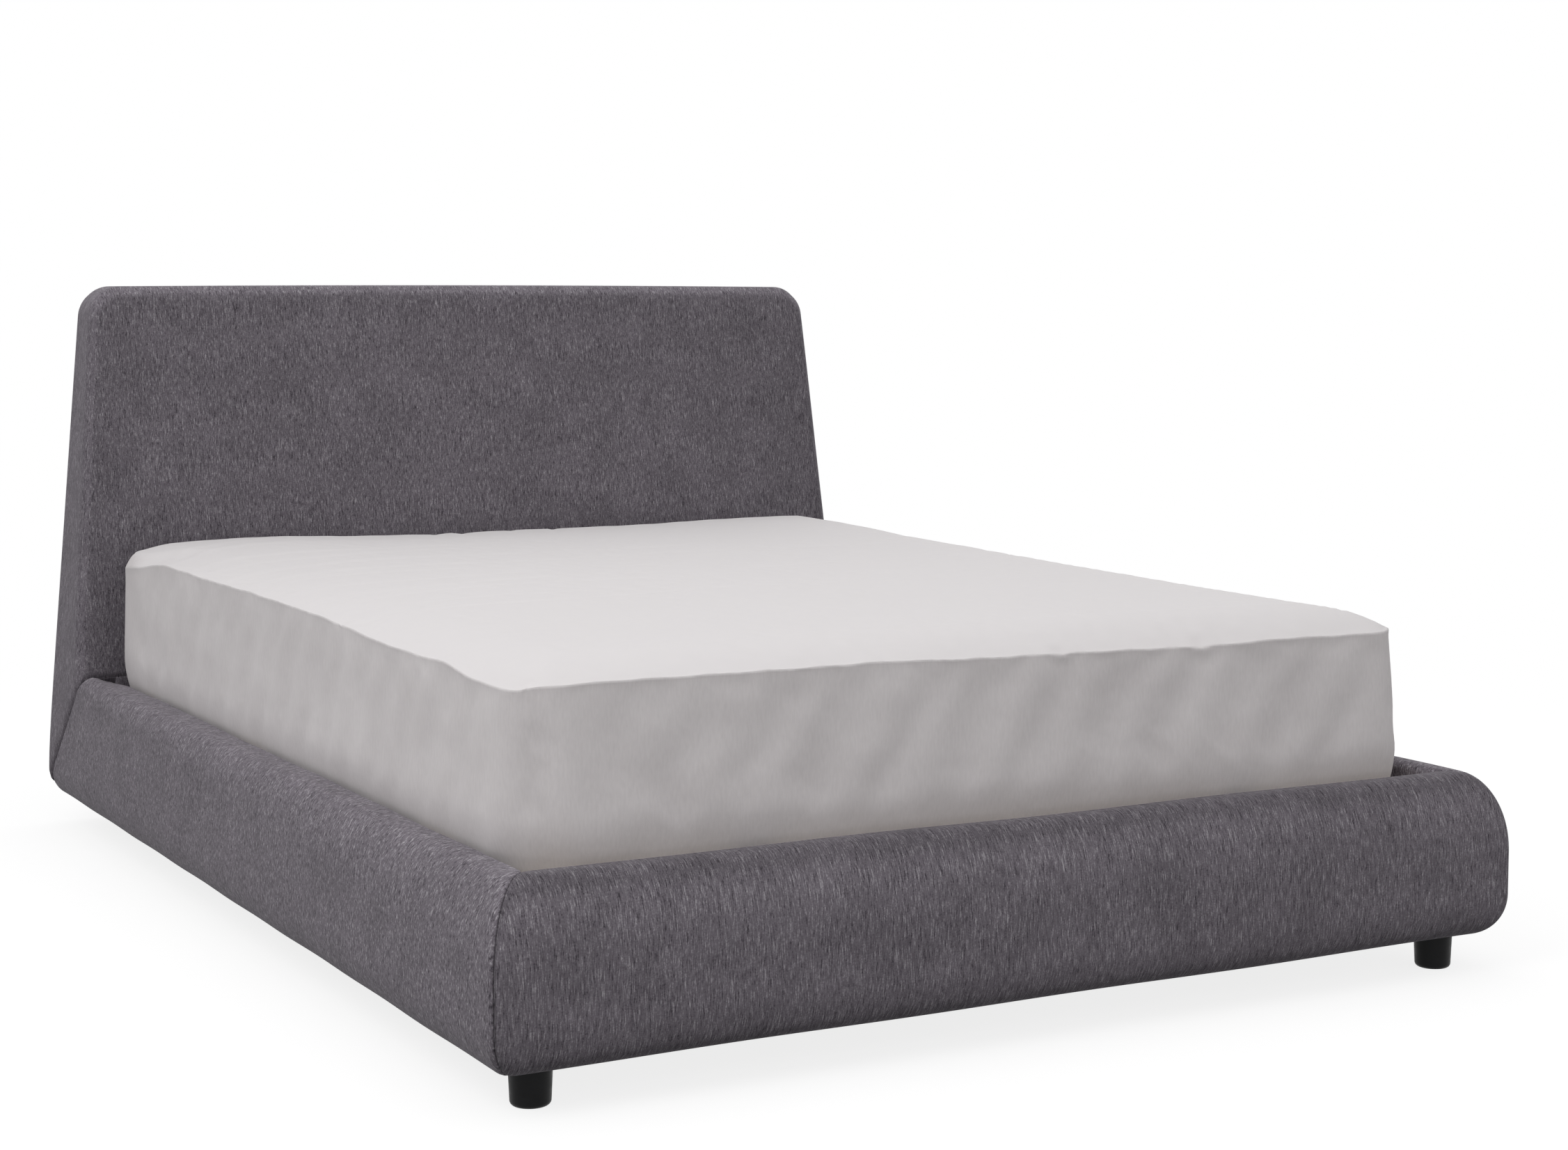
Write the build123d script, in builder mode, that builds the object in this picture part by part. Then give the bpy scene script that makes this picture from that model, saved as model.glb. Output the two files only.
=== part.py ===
from build123d import *
import os
from math import sqrt

os.makedirs("parts", exist_ok=True)

# Millimetres: X across the bed, +Y towards the headboard, Z up from the floor
# The origin is on the floor, under the middle of the bed

# Overall size
BED_LENGTH = 2320
HALF_LENGTH = BED_LENGTH / 2
RAIL_HALF_SPAN = 864
FAR = 3000

# Section of the padded rails, measured inwards from the bulge and up from the floor
RAIL_DEPTH = 85
RAIL_BOTTOM = 54
RAIL_TOP = 313
BELLY_IN = 44
BELLY_END = 122
LIP_RADIUS = 12

# Shoulder of that section: how far its face leans in, where it turns over and how far that reaches
# It is full at the foot end and firms up towards the headboard
FOOT_SHOULDER = (0, 190, 60)
HEAD_SHOULDER = (12, 295, 18)
FULL_LENGTH = 160

# Cloth and the seams between padded pieces
SKIN = 2
SEAM_GAP = 0.5

# Core board inside each rail, and the cover's turned-in edges on its inner face
BOARD_THICKNESS = 20
BOARD_BOTTOM = 75
BOARD_TOP = 295
BOARD_INNER = RAIL_DEPTH - SKIN
TURN_IN_LOW = 100
TURN_IN_HIGH = 258

# Headboard wedge: front and back lean, and the taper of the sides
HEAD_TOP = 1077
HEAD_BOTTOM = 84
FRONT_AT_RAIL_TOP = 960
FRONT_LEAN = 0.0927
BACK_LEAN = 0.018
HEAD_HALF_BOTTOM = 874
HEAD_HALF_TOP = 797
HEAD_CORNER_RADIUS = 58
HEAD_FRONT_ROUND = 30
HEAD_BACK_ROUND = 14

# Inside the headboard
FRONT_FOAM = 38
PANEL = 9
TOP_FOAM_START = 1037
CAVITY_HALF = 780
GUSSET_OUTER = 779
GUSSET = 22
GUSSET_INNER = GUSSET_OUTER - GUSSET
GUSSET_BOTTOM = 60
GUSSET_TOP = 1036
GUSSET_STEP = 306
GUSSET_FRONT = 962
LINING_MARGIN = 40
LINING_BOTTOM = 125
LINING_REACH = 25
FIT = 0.5

# Bottom rail across the head end, and the other rails of the headboard's frame
BOTTOM_RAIL_FRONT = 963
BOTTOM_RAIL_HEIGHTS = (105, 305)
RAIL_STOCK = 22
MID_RAIL_HEIGHTS = (600, 690)
TOP_RAIL_HEIGHTS = (996, 1036)
BACK_RAIL_HEIGHTS = (95, 155)
BACK_RAIL_FRONT = 1130

# Slatted deck
SLAT_COUNT = 12
SLAT_WIDTH = 95
SLAT_THICKNESS = 20
SLAT_HALF_LENGTH = 776
SLAT_EDGE = 3
DECK_TOP = 272
FIRST_SLAT = -1020
LAST_SLAT = 905
STRAP_WIDTH = 40
STRAP_THICKNESS = 1.5
STRAP_OFFSET = 420
LEDGER_WIDTH = 30
LEDGER_HEIGHT = 45
SLAT_UNDERSIDE = DECK_TOP - SLAT_THICKNESS

# Centre beam and its legs
BEAM_WIDTH = 40
BEAM_HEIGHT = 70
BEAM_BOTTOM = SLAT_UNDERSIDE - BEAM_HEIGHT
HANGER_SHEET = 3
HANGER_DEPTH = 50
HANGER_FLANGE = 18
LEG_RADIUS = 22
LEG_FOOT_RADIUS = 18
LEG_BOTTOM = 30
LEG_PLACES = {"front": -370, "rear": 330}
STUD_RADIUS = 4
STUD_TOP = 62
STUD_BORE_RADIUS = 4.3
STUD_BORE_TOP = 76
STUD_COLLAR_RADIUS = 8
STUD_COLLAR_HEIGHTS = (11, 17)
PAD_RADIUS = 20
PAD_TOP_RADIUS = 13
PAD_HEIGHT = 10
PAD_SOCKET_DEPTH = 6
RUNNING = 0.05

# Feet and the corner blocks that take them
FOOT_TOP_RADIUS = 30
FOOT_BOTTOM_RADIUS = 27.5
FOOT_EDGE_RADIUS = 7
FRONT_FOOT = (774.5, -1076.5)
REAR_FOOT = (712, 1062)
HANGER_BOLT_RADIUS = 4
HANGER_BOLT_HEIGHTS = (22, 74)
BOLT_CLEARANCE = 0.3
FRONT_BLOCK_IN = (BOARD_INNER + 3.5, 146)
FRONT_BLOCK_TOP = 98
FLANGE_OUT = 45
FLANGE_HEIGHTS = (56.5, 74.5)
REAR_BLOCK_WIDTH = 96
REAR_BLOCK_SPAN = (1012, 1112)
REAR_BLOCK_TOP = 150

# Steel corner brackets and bolts
BRACKET_LEG = 92
BRACKET_SHEET = 3
BRACKET_HEIGHTS = (101, 196)
BRACKET_BOLT_OUT = 60
BRACKET_BOLT_HEIGHTS = (126, 171)
BOLT_RADIUS = 4
BOLT_HEAD_RADIUS = 8
BOLT_HEAD = 5
BOLT_DEPTH = 16
RAIL_BOLT_PLACES = [(1000, 118), (1000, 228), (1052, 178)]

# Mattress in its fitted sheet, lying a little off centre
MATTRESS_HALF = 760
MATTRESS_SHIFT = -10
MATTRESS_FRONT = -1032
MATTRESS_BACK = 945
MATTRESS_TOP = 572
MATTRESS_BOTTOM = 273.8
MATTRESS_CORNER = 66
MATTRESS_CREASE = 537
MATTRESS_PILLOW = 130
MATTRESS_CROWN = 5
MATTRESS_FLARE = 7
MATTRESS_LOW_EDGE = 20
LEAST_RISE = 1
PILLOW_MIDDLE = 0.75
END_STEPS = (0, 5, 16, 36, MATTRESS_CORNER, MATTRESS_PILLOW)
SHEET = 1.2
SHEET_CLEARANCE = 0.4
SHEET_TUCK = 120


def export(builder, name):
    """Labels a finished piece and writes it under its own name."""
    builder.part.label = name
    export_step(builder.part, f"parts/{name}.step")


def front_at(height):
    """Y of the headboard's leaning front face at a height."""
    return FRONT_AT_RAIL_TOP + FRONT_LEAN * (height - RAIL_TOP)


def back_at(height):
    """Y of the headboard's back face at a height."""
    return HALF_LENGTH - BACK_LEAN * (height - HEAD_BOTTOM)


def block(x_span, y_span, z_span, mode=Mode.ADD):
    """A square-cut piece between two corners, in the part being built."""
    sizes = [high - low for low, high in (x_span, y_span, z_span)]
    corner = Location((x_span[0], y_span[0], z_span[0]))
    with Locations(corner):
        Box(*sizes, align=(Align.MIN, Align.MIN, Align.MIN), mode=mode)


# Planes that part the padded pieces from one another
LEFT_SECTION = Plane((-RAIL_HALF_SPAN, HALF_LENGTH, 0), x_dir=(1, 0, 0), z_dir=(0, -1, 0))
FOOT_SECTION = Plane((-RAIL_HALF_SPAN, -HALF_LENGTH, 0), x_dir=(0, 1, 0), z_dir=(1, 0, 0))
LEFT_MITRE = Plane((-RAIL_HALF_SPAN, -HALF_LENGTH, 0), x_dir=(0, 0, 1), z_dir=(-1, 1, 0))
RIGHT_MITRE = Plane((RAIL_HALF_SPAN, -HALF_LENGTH, 0), x_dir=(0, 0, 1), z_dir=(1, 1, 0))
CHEEK_RISE = RAIL_TOP - HEAD_BOTTOM
CHEEK_RUN = HALF_LENGTH - FRONT_AT_RAIL_TOP
CHEEK_CUT = Plane((0, HALF_LENGTH, HEAD_BOTTOM), x_dir=(1, 0, 0), z_dir=(0, CHEEK_RISE, CHEEK_RUN))


def rail_outline(plane, inset, shoulder=FOOT_SHOULDER):
    """The padded rail's section with a given shoulder, drawn in all round by inset."""
    lean, turn, reach = shoulder
    inner = RAIL_DEPTH - inset
    bottom = RAIL_BOTTOM + inset
    top = RAIL_TOP - inset
    lip_in = RAIL_DEPTH - LIP_RADIUS
    lip_height = RAIL_TOP - LIP_RADIUS
    belly = (BELLY_IN, BELLY_END)
    with BuildSketch(plane) as outline:
        with BuildLine():
            Line((inner, bottom), (BELLY_IN, bottom))
            EllipticalCenterArc(belly, BELLY_IN - inset, BELLY_END - bottom, 180, arc_size=90)
            Line((inset, BELLY_END), (lean + inset, turn))
            EllipticalCenterArc((lean + reach, turn), reach - inset, top - turn, 90, arc_size=90)
            Line((lean + reach, top), (lip_in, top))
            CenterArc((lip_in, lip_height), LIP_RADIUS - inset, 0, 90)
            Line((inner, lip_height), (inner, bottom))
        make_face()
    return outline.sketch


def side_rail_form(inset):
    """The left rail from head to foot, its shoulder growing full, drawn in all round by inset."""
    full_start = LEFT_SECTION.offset(BED_LENGTH - FULL_LENGTH)
    foot_end = LEFT_SECTION.offset(BED_LENGTH)
    sections = [
        rail_outline(LEFT_SECTION, inset, HEAD_SHOULDER),
        rail_outline(full_start, inset),
        rail_outline(foot_end, inset),
    ]
    with BuildPart() as form:
        loft(sections, ruled=True)
    return form.part


def upright_slot(plane, depths, heights):
    """A rectangle of a rail's section between two depths and two heights."""
    middle = ((depths[0] + depths[1]) / 2, (heights[0] + heights[1]) / 2)
    with BuildSketch(plane) as slot:
        with Locations(middle):
            Rectangle(depths[1] - depths[0], heights[1] - heights[0])
    return slot.sketch


BOARD_DEPTHS = (BOARD_INNER - BOARD_THICKNESS, BOARD_INNER)
BOARD_HEIGHTS = (BOARD_BOTTOM, BOARD_TOP)
BARE_DEPTHS = (BOARD_INNER, RAIL_DEPTH)
BARE_HEIGHTS = (TURN_IN_LOW, TURN_IN_HIGH)

# Where the front corner blocks' flanges reach out under the rails
POCKET_OUT = RAIL_HALF_SPAN - FLANGE_OUT + FIT
POCKET_IN = RAIL_HALF_SPAN - FRONT_BLOCK_IN[1] - FIT
POCKET_FRONT = -HALF_LENGTH + FLANGE_OUT - FIT
POCKET_BACK = -HALF_LENGTH + FRONT_BLOCK_IN[1] + FIT
POCKET_HEIGHTS = (RAIL_BOTTOM + SKIN, BOARD_BOTTOM)
BOLT_ROOM = HANGER_BOLT_RADIUS + BOLT_CLEARANCE


def cut_flange_pockets():
    """Clears the padding and the cloth for both corner blocks' flanges and their foot bolts."""
    for side in (-1, 1):
        across = sorted((side * POCKET_OUT, side * POCKET_IN))
        block(across, (POCKET_FRONT, POCKET_BACK), POCKET_HEIGHTS, mode=Mode.SUBTRACT)
        with Locations((side * FRONT_FOOT[0], FRONT_FOOT[1], RAIL_BOTTOM)):
            Cylinder(BOLT_ROOM, BOARD_BOTTOM - RAIL_BOTTOM, mode=Mode.SUBTRACT)


# Left side rail: core board, foam and cover, mitred in front and slanted at the head
BOLT_HOLE = BOLT_RADIUS + BOLT_CLEARANCE
BOARD_FACE = RAIL_HALF_SPAN - BOARD_INNER
BRACKET_BOLT_Y = -HALF_LENGTH + BOARD_INNER + BRACKET_BOLT_OUT
LEFT_BOLT_PLACES = RAIL_BOLT_PLACES + [(BRACKET_BOLT_Y, height) for height in BRACKET_BOLT_HEIGHTS]
LEFT_BOLT_PLANE = Plane((-BOARD_FACE, 0, 0), x_dir=(0, 1, 0), z_dir=(1, 0, 0))

with BuildPart() as left_rail_board:
    extrude(upright_slot(LEFT_SECTION, BOARD_DEPTHS, BOARD_HEIGHTS), amount=BED_LENGTH)
    split(bisect_by=LEFT_MITRE.offset(SEAM_GAP), keep=Keep.TOP)
    split(bisect_by=CHEEK_CUT.offset(-SEAM_GAP), keep=Keep.BOTTOM)
    with BuildSketch(LEFT_BOLT_PLANE):
        with Locations(*LEFT_BOLT_PLACES):
            Circle(BOLT_HOLE)
    extrude(amount=-BOLT_DEPTH - FIT, mode=Mode.SUBTRACT)
export(left_rail_board, "left_rail_board")

with BuildPart() as left_rail_foam:
    add(side_rail_form(SKIN))
    board_room = upright_slot(LEFT_SECTION, BOARD_DEPTHS, BOARD_HEIGHTS)
    extrude(board_room, amount=BED_LENGTH, mode=Mode.SUBTRACT)
    split(bisect_by=LEFT_MITRE.offset(SEAM_GAP), keep=Keep.TOP)
    split(bisect_by=CHEEK_CUT.offset(-SEAM_GAP), keep=Keep.BOTTOM)
    cut_flange_pockets()
export(left_rail_foam, "left_rail_foam")

with BuildPart() as left_rail_cover:
    add(side_rail_form(0))
    add(side_rail_form(SKIN), mode=Mode.SUBTRACT)
    bare_board = upright_slot(LEFT_SECTION, BARE_DEPTHS, BARE_HEIGHTS)
    extrude(bare_board, amount=BED_LENGTH, mode=Mode.SUBTRACT)
    split(bisect_by=LEFT_MITRE.offset(SEAM_GAP), keep=Keep.TOP)
    split(bisect_by=CHEEK_CUT.offset(-SEAM_GAP), keep=Keep.BOTTOM)
    cut_flange_pockets()
export(left_rail_cover, "left_rail_cover")

# Right side rail, the left one mirrored
for left_piece in (left_rail_board, left_rail_foam, left_rail_cover):
    with BuildPart() as right_piece:
        mirror(left_piece.part, about=Plane.YZ)
    export(right_piece, left_piece.part.label.replace("left", "right"))

# Footboard: the same section, mitred at both ends
FOOT_WIDTH = 2 * RAIL_HALF_SPAN
FOOT_BOARD_FACE = -HALF_LENGTH + BOARD_INNER
FOOT_BOLT_X = BOARD_FACE - BRACKET_BOLT_OUT
FOOT_BOLT_PLANE = Plane((0, FOOT_BOARD_FACE, 0), x_dir=(1, 0, 0), z_dir=(0, -1, 0))
FOOT_BOLT_PLACES = [(x, height) for x in (-FOOT_BOLT_X, FOOT_BOLT_X) for height in BRACKET_BOLT_HEIGHTS]

with BuildPart() as footboard_board:
    extrude(upright_slot(FOOT_SECTION, BOARD_DEPTHS, BOARD_HEIGHTS), amount=FOOT_WIDTH)
    split(bisect_by=LEFT_MITRE.offset(-SEAM_GAP), keep=Keep.BOTTOM)
    split(bisect_by=RIGHT_MITRE.offset(-SEAM_GAP), keep=Keep.BOTTOM)
    with BuildSketch(FOOT_BOLT_PLANE):
        with Locations(*FOOT_BOLT_PLACES):
            Circle(BOLT_HOLE)
    extrude(amount=BOLT_DEPTH + FIT, mode=Mode.SUBTRACT)
export(footboard_board, "footboard_board")

with BuildPart() as footboard_foam:
    extrude(rail_outline(FOOT_SECTION, SKIN), amount=FOOT_WIDTH)
    board_room = upright_slot(FOOT_SECTION, BOARD_DEPTHS, BOARD_HEIGHTS)
    extrude(board_room, amount=FOOT_WIDTH, mode=Mode.SUBTRACT)
    split(bisect_by=LEFT_MITRE.offset(-SEAM_GAP), keep=Keep.BOTTOM)
    split(bisect_by=RIGHT_MITRE.offset(-SEAM_GAP), keep=Keep.BOTTOM)
    cut_flange_pockets()
export(footboard_foam, "footboard_foam")

with BuildPart() as footboard_cover:
    extrude(rail_outline(FOOT_SECTION, 0), amount=FOOT_WIDTH)
    extrude(rail_outline(FOOT_SECTION, SKIN), amount=FOOT_WIDTH, mode=Mode.SUBTRACT)
    bare_board = upright_slot(FOOT_SECTION, BARE_DEPTHS, BARE_HEIGHTS)
    extrude(bare_board, amount=FOOT_WIDTH, mode=Mode.SUBTRACT)
    split(bisect_by=LEFT_MITRE.offset(-SEAM_GAP), keep=Keep.BOTTOM)
    split(bisect_by=RIGHT_MITRE.offset(-SEAM_GAP), keep=Keep.BOTTOM)
    cut_flange_pockets()
export(footboard_cover, "footboard_cover")


def headboard_body(inset):
    """The upholstered wedge, drawn in all round by inset, with its slanted underside."""
    top = HEAD_TOP - inset
    low = RAIL_BOTTOM
    with BuildPart() as body:
        with BuildSketch(Plane.YZ):
            with BuildLine():
                Polyline(
                    (front_at(low) + inset, low),
                    (front_at(top) + inset, top),
                    (back_at(top) - inset, top),
                    (back_at(low) - inset, low),
                    close=True,
                )
            make_face()
        extrude(amount=FAR, both=True)
        with BuildSketch(Plane.XZ) as front_outline:
            with BuildLine():
                Polyline(
                    (-HEAD_HALF_BOTTOM + inset, HEAD_BOTTOM),
                    (-HEAD_HALF_TOP + inset, top),
                    (HEAD_HALF_TOP - inset, top),
                    (HEAD_HALF_BOTTOM - inset, HEAD_BOTTOM),
                    close=True,
                )
            make_face()
            fillet(front_outline.vertices().group_by(Axis.Y)[-1], HEAD_CORNER_RADIUS - inset)
        extrude(amount=-FAR, mode=Mode.INTERSECT)
        front_face = body.faces().sort_by(Axis.Y)[0]
        back_face = body.faces().sort_by(Axis.Y)[-1]
        bottom_edges = body.edges().group_by(Axis.Z)[0]
        front_edges = front_face.edges() - bottom_edges
        back_edges = back_face.edges() - bottom_edges
        fillet(front_edges, HEAD_FRONT_ROUND - inset)
        fillet(back_edges, HEAD_BACK_ROUND - inset)
        split(bisect_by=CHEEK_CUT.offset(SEAM_GAP + inset), keep=Keep.TOP)
    return body.part


outer_body = headboard_body(0)
inner_body = headboard_body(SKIN)
FOAM_BACK = Plane(
    (0, front_at(RAIL_TOP) + SKIN + FRONT_FOAM, RAIL_TOP), x_dir=(1, 0, 0), z_dir=(0, 1, -FRONT_LEAN)
)
PANEL_BACK = FOAM_BACK.offset(PANEL)

# Headboard foam: a front pad, a top pad and a cheek on each side
with BuildPart() as headboard_front_foam:
    add(inner_body)
    split(bisect_by=Plane.XY.offset(TOP_FOAM_START), keep=Keep.BOTTOM)
    split(bisect_by=Plane.XY.offset(RAIL_TOP), keep=Keep.TOP)
    split(bisect_by=Plane.YZ.offset(-CAVITY_HALF), keep=Keep.TOP)
    split(bisect_by=Plane.YZ.offset(CAVITY_HALF), keep=Keep.BOTTOM)
    split(bisect_by=FOAM_BACK, keep=Keep.BOTTOM)
export(headboard_front_foam, "headboard_front_foam")

with BuildPart() as headboard_top_foam:
    add(inner_body)
    split(bisect_by=Plane.XY.offset(TOP_FOAM_START), keep=Keep.TOP)
export(headboard_top_foam, "headboard_top_foam")

with BuildPart() as left_cheek_foam:
    add(inner_body)
    split(bisect_by=Plane.XY.offset(TOP_FOAM_START), keep=Keep.BOTTOM)
    split(bisect_by=Plane.YZ.offset(-CAVITY_HALF), keep=Keep.BOTTOM)
export(left_cheek_foam, "headboard_left_cheek_foam")

with BuildPart() as right_cheek_foam:
    mirror(left_cheek_foam.part, about=Plane.YZ)
export(right_cheek_foam, "headboard_right_cheek_foam")


def head_half_at(height):
    """Half the headboard's width at a height."""
    taper = (HEAD_HALF_BOTTOM - HEAD_HALF_TOP) / (HEAD_TOP - HEAD_BOTTOM)
    return HEAD_HALF_BOTTOM - taper * (height - HEAD_BOTTOM)


def lining_outline(clearance):
    """The opening in the back of the cover, drawn in by clearance."""
    low = LINING_BOTTOM + clearance
    high = TOP_FOAM_START - clearance
    margin = LINING_MARGIN + clearance
    with BuildSketch(Plane.XZ.offset(-HALF_LENGTH)) as outline:
        with BuildLine():
            Polyline(
                (-head_half_at(low) + margin, low),
                (-head_half_at(high) + margin, high),
                (head_half_at(high) - margin, high),
                (head_half_at(low) - margin, low),
                close=True,
            )
        make_face()
    return outline.sketch


# Cover: a skin over the foam, open behind for the lining and below between the rails
BACK_SKIN = Plane((0, back_at(HEAD_BOTTOM) - SKIN, HEAD_BOTTOM), x_dir=(1, 0, 0), z_dir=(0, 1, BACK_LEAN))
with BuildPart() as headboard_cover:
    add(outer_body)
    add(inner_body, mode=Mode.SUBTRACT)
    extrude(lining_outline(0), amount=LINING_REACH, mode=Mode.SUBTRACT)
    block(
        (-CAVITY_HALF - FIT, CAVITY_HALF + FIT),
        (FRONT_AT_RAIL_TOP - FRONT_FOAM, HALF_LENGTH - SKIN - FIT),
        (RAIL_BOTTOM, RAIL_TOP),
        mode=Mode.SUBTRACT,
    )
export(headboard_cover, "headboard_cover")

with BuildPart() as headboard_back_lining:
    extrude(lining_outline(FIT), amount=LINING_REACH)
    split(bisect_by=BACK_SKIN, keep=Keep.TOP)
    split(bisect_by=BACK_SKIN.offset(SKIN), keep=Keep.BOTTOM)
export(headboard_back_lining, "headboard_back_lining")

# Front panel behind the foam
with BuildPart() as headboard_front_panel:
    block((-GUSSET_OUTER, GUSSET_OUTER), (FRONT_AT_RAIL_TOP, HALF_LENGTH), (RAIL_TOP + FIT, GUSSET_TOP))
    split(bisect_by=FOAM_BACK, keep=Keep.TOP)
    split(bisect_by=PANEL_BACK, keep=Keep.BOTTOM)
export(headboard_front_panel, "headboard_front_panel")


def frame_front(height):
    """Y just behind the front panel at a height."""
    return front_at(height) + (SKIN + FRONT_FOAM + PANEL) * sqrt(1 + FRONT_LEAN**2) + FIT


def frame_back(height):
    """Y just inside the cover's back at a height."""
    return back_at(height) - SKIN - FIT


# Gussets: stepped plywood sides that carry the headboard and lap the rails
LEFT_GUSSET_PLANE = Plane((-GUSSET_OUTER, 0, 0), x_dir=(0, 1, 0), z_dir=(1, 0, 0))
with BuildPart() as left_gusset:
    with BuildSketch(LEFT_GUSSET_PLANE):
        with BuildLine():
            Polyline(
                (GUSSET_FRONT, GUSSET_BOTTOM),
                (GUSSET_FRONT, GUSSET_STEP),
                (frame_front(GUSSET_STEP), GUSSET_STEP),
                (frame_front(GUSSET_TOP), GUSSET_TOP),
                (frame_back(GUSSET_TOP), GUSSET_TOP),
                (frame_back(GUSSET_BOTTOM), GUSSET_BOTTOM),
                close=True,
            )
        make_face()
        with Locations(*RAIL_BOLT_PLACES):
            Circle(BOLT_HOLE, mode=Mode.SUBTRACT)
    extrude(amount=GUSSET)
export(left_gusset, "headboard_left_gusset")

with BuildPart() as right_gusset:
    mirror(left_gusset.part, about=Plane.YZ)
export(right_gusset, "headboard_right_gusset")

# Rails across the headboard, between the gussets
BETWEEN_GUSSETS = (-GUSSET_INNER, GUSSET_INNER)
TOP_RAIL_FRONT = frame_front(TOP_RAIL_HEIGHTS[1])
MID_RAIL_FRONT = frame_front(MID_RAIL_HEIGHTS[1])
CROSS_RAILS = {
    "headboard_top_rail": ((TOP_RAIL_FRONT, frame_back(TOP_RAIL_HEIGHTS[1])), TOP_RAIL_HEIGHTS),
    "headboard_mid_rail": ((MID_RAIL_FRONT, MID_RAIL_FRONT + RAIL_STOCK), MID_RAIL_HEIGHTS),
    "headboard_bottom_rail": ((BOTTOM_RAIL_FRONT, BOTTOM_RAIL_FRONT + RAIL_STOCK), BOTTOM_RAIL_HEIGHTS),
    "headboard_back_rail": ((BACK_RAIL_FRONT, BACK_RAIL_FRONT + RAIL_STOCK), BACK_RAIL_HEIGHTS),
}
for rail_name, (depth_span, heights) in CROSS_RAILS.items():
    with BuildPart() as cross_rail:
        block(BETWEEN_GUSSETS, depth_span, heights)
    export(cross_rail, rail_name)

# Corner blocks that take the feet
FRONT_BLOCK_Y = [-HALF_LENGTH + depth for depth in FRONT_BLOCK_IN]
FRONT_BLOCK_X = [-RAIL_HALF_SPAN + depth for depth in FRONT_BLOCK_IN]
FLANGE_X = (-RAIL_HALF_SPAN + FLANGE_OUT, FRONT_BLOCK_X[1])
FLANGE_Y = (-HALF_LENGTH + FLANGE_OUT, FRONT_BLOCK_Y[1])

with BuildPart() as front_left_block:
    block(FLANGE_X, FLANGE_Y, FLANGE_HEIGHTS)
    block(FRONT_BLOCK_X, FRONT_BLOCK_Y, (RAIL_BOTTOM, FRONT_BLOCK_TOP))
    with Locations((-FRONT_FOOT[0], FRONT_FOOT[1], 0)):
        Cylinder(BOLT_ROOM, FAR, mode=Mode.SUBTRACT)
export(front_left_block, "front_left_corner_block")

with BuildPart() as rear_left_block:
    block((-GUSSET_INNER, -GUSSET_INNER + REAR_BLOCK_WIDTH), REAR_BLOCK_SPAN, (RAIL_BOTTOM, REAR_BLOCK_TOP))
    with Locations((-REAR_FOOT[0], REAR_FOOT[1], 0)):
        Cylinder(BOLT_ROOM, FAR, mode=Mode.SUBTRACT)
export(rear_left_block, "rear_left_corner_block")

for left_block in (front_left_block, rear_left_block):
    with BuildPart() as right_block:
        mirror(left_block.part, about=Plane.YZ)
    export(right_block, left_block.part.label.replace("left", "right"))

# Feet: turned, slightly tapered, with a rounded lower edge and a hole for the hanger bolt
FOOT_PLACES = {
    "front_left_foot": (-FRONT_FOOT[0], FRONT_FOOT[1]),
    "front_right_foot": FRONT_FOOT,
    "rear_left_foot": (-REAR_FOOT[0], REAR_FOOT[1]),
    "rear_right_foot": REAR_FOOT,
}
for foot_name, (foot_x, foot_y) in FOOT_PLACES.items():
    with BuildPart() as foot:
        with BuildSketch(Plane((foot_x, foot_y, 0))):
            Circle(FOOT_BOTTOM_RADIUS)
        with BuildSketch(Plane((foot_x, foot_y, RAIL_BOTTOM))):
            Circle(FOOT_TOP_RADIUS)
        loft()
        fillet(foot.edges().group_by(Axis.Z)[0], FOOT_EDGE_RADIUS)
        with BuildSketch(Plane((foot_x, foot_y, HANGER_BOLT_HEIGHTS[0]))):
            Circle(BOLT_ROOM)
        extrude(amount=RAIL_BOTTOM, mode=Mode.SUBTRACT)
    export(foot, foot_name)

with BuildPart() as foot_hanger_bolts:
    with BuildSketch(Plane.XY.offset(HANGER_BOLT_HEIGHTS[0])):
        with Locations(*FOOT_PLACES.values()):
            Circle(HANGER_BOLT_RADIUS)
    extrude(amount=HANGER_BOLT_HEIGHTS[1] - HANGER_BOLT_HEIGHTS[0])
export(foot_hanger_bolts, "foot_hanger_bolts")

# Steel angles in the two front corners
BRACKET_OUT_X = -BOARD_FACE
BRACKET_OUT_Y = FOOT_BOARD_FACE
with BuildPart() as corner_brackets:
    block(
        (BRACKET_OUT_X, BRACKET_OUT_X + BRACKET_LEG),
        (BRACKET_OUT_Y, BRACKET_OUT_Y + BRACKET_LEG),
        BRACKET_HEIGHTS,
    )
    block(
        (BRACKET_OUT_X + BRACKET_SHEET, BRACKET_OUT_X + BRACKET_LEG),
        (BRACKET_OUT_Y + BRACKET_SHEET, BRACKET_OUT_Y + BRACKET_LEG),
        BRACKET_HEIGHTS,
        mode=Mode.SUBTRACT,
    )
    with BuildSketch(LEFT_BOLT_PLANE):
        with Locations(*[(BRACKET_BOLT_Y, height) for height in BRACKET_BOLT_HEIGHTS]):
            Circle(BOLT_HOLE)
    extrude(amount=BRACKET_SHEET, mode=Mode.SUBTRACT)
    with BuildSketch(FOOT_BOLT_PLANE):
        with Locations(*[(-FOOT_BOLT_X, height) for height in BRACKET_BOLT_HEIGHTS]):
            Circle(BOLT_HOLE)
    extrude(amount=-BRACKET_SHEET, mode=Mode.SUBTRACT)
    mirror(about=Plane.YZ)
export(corner_brackets, "front_corner_brackets")


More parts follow.
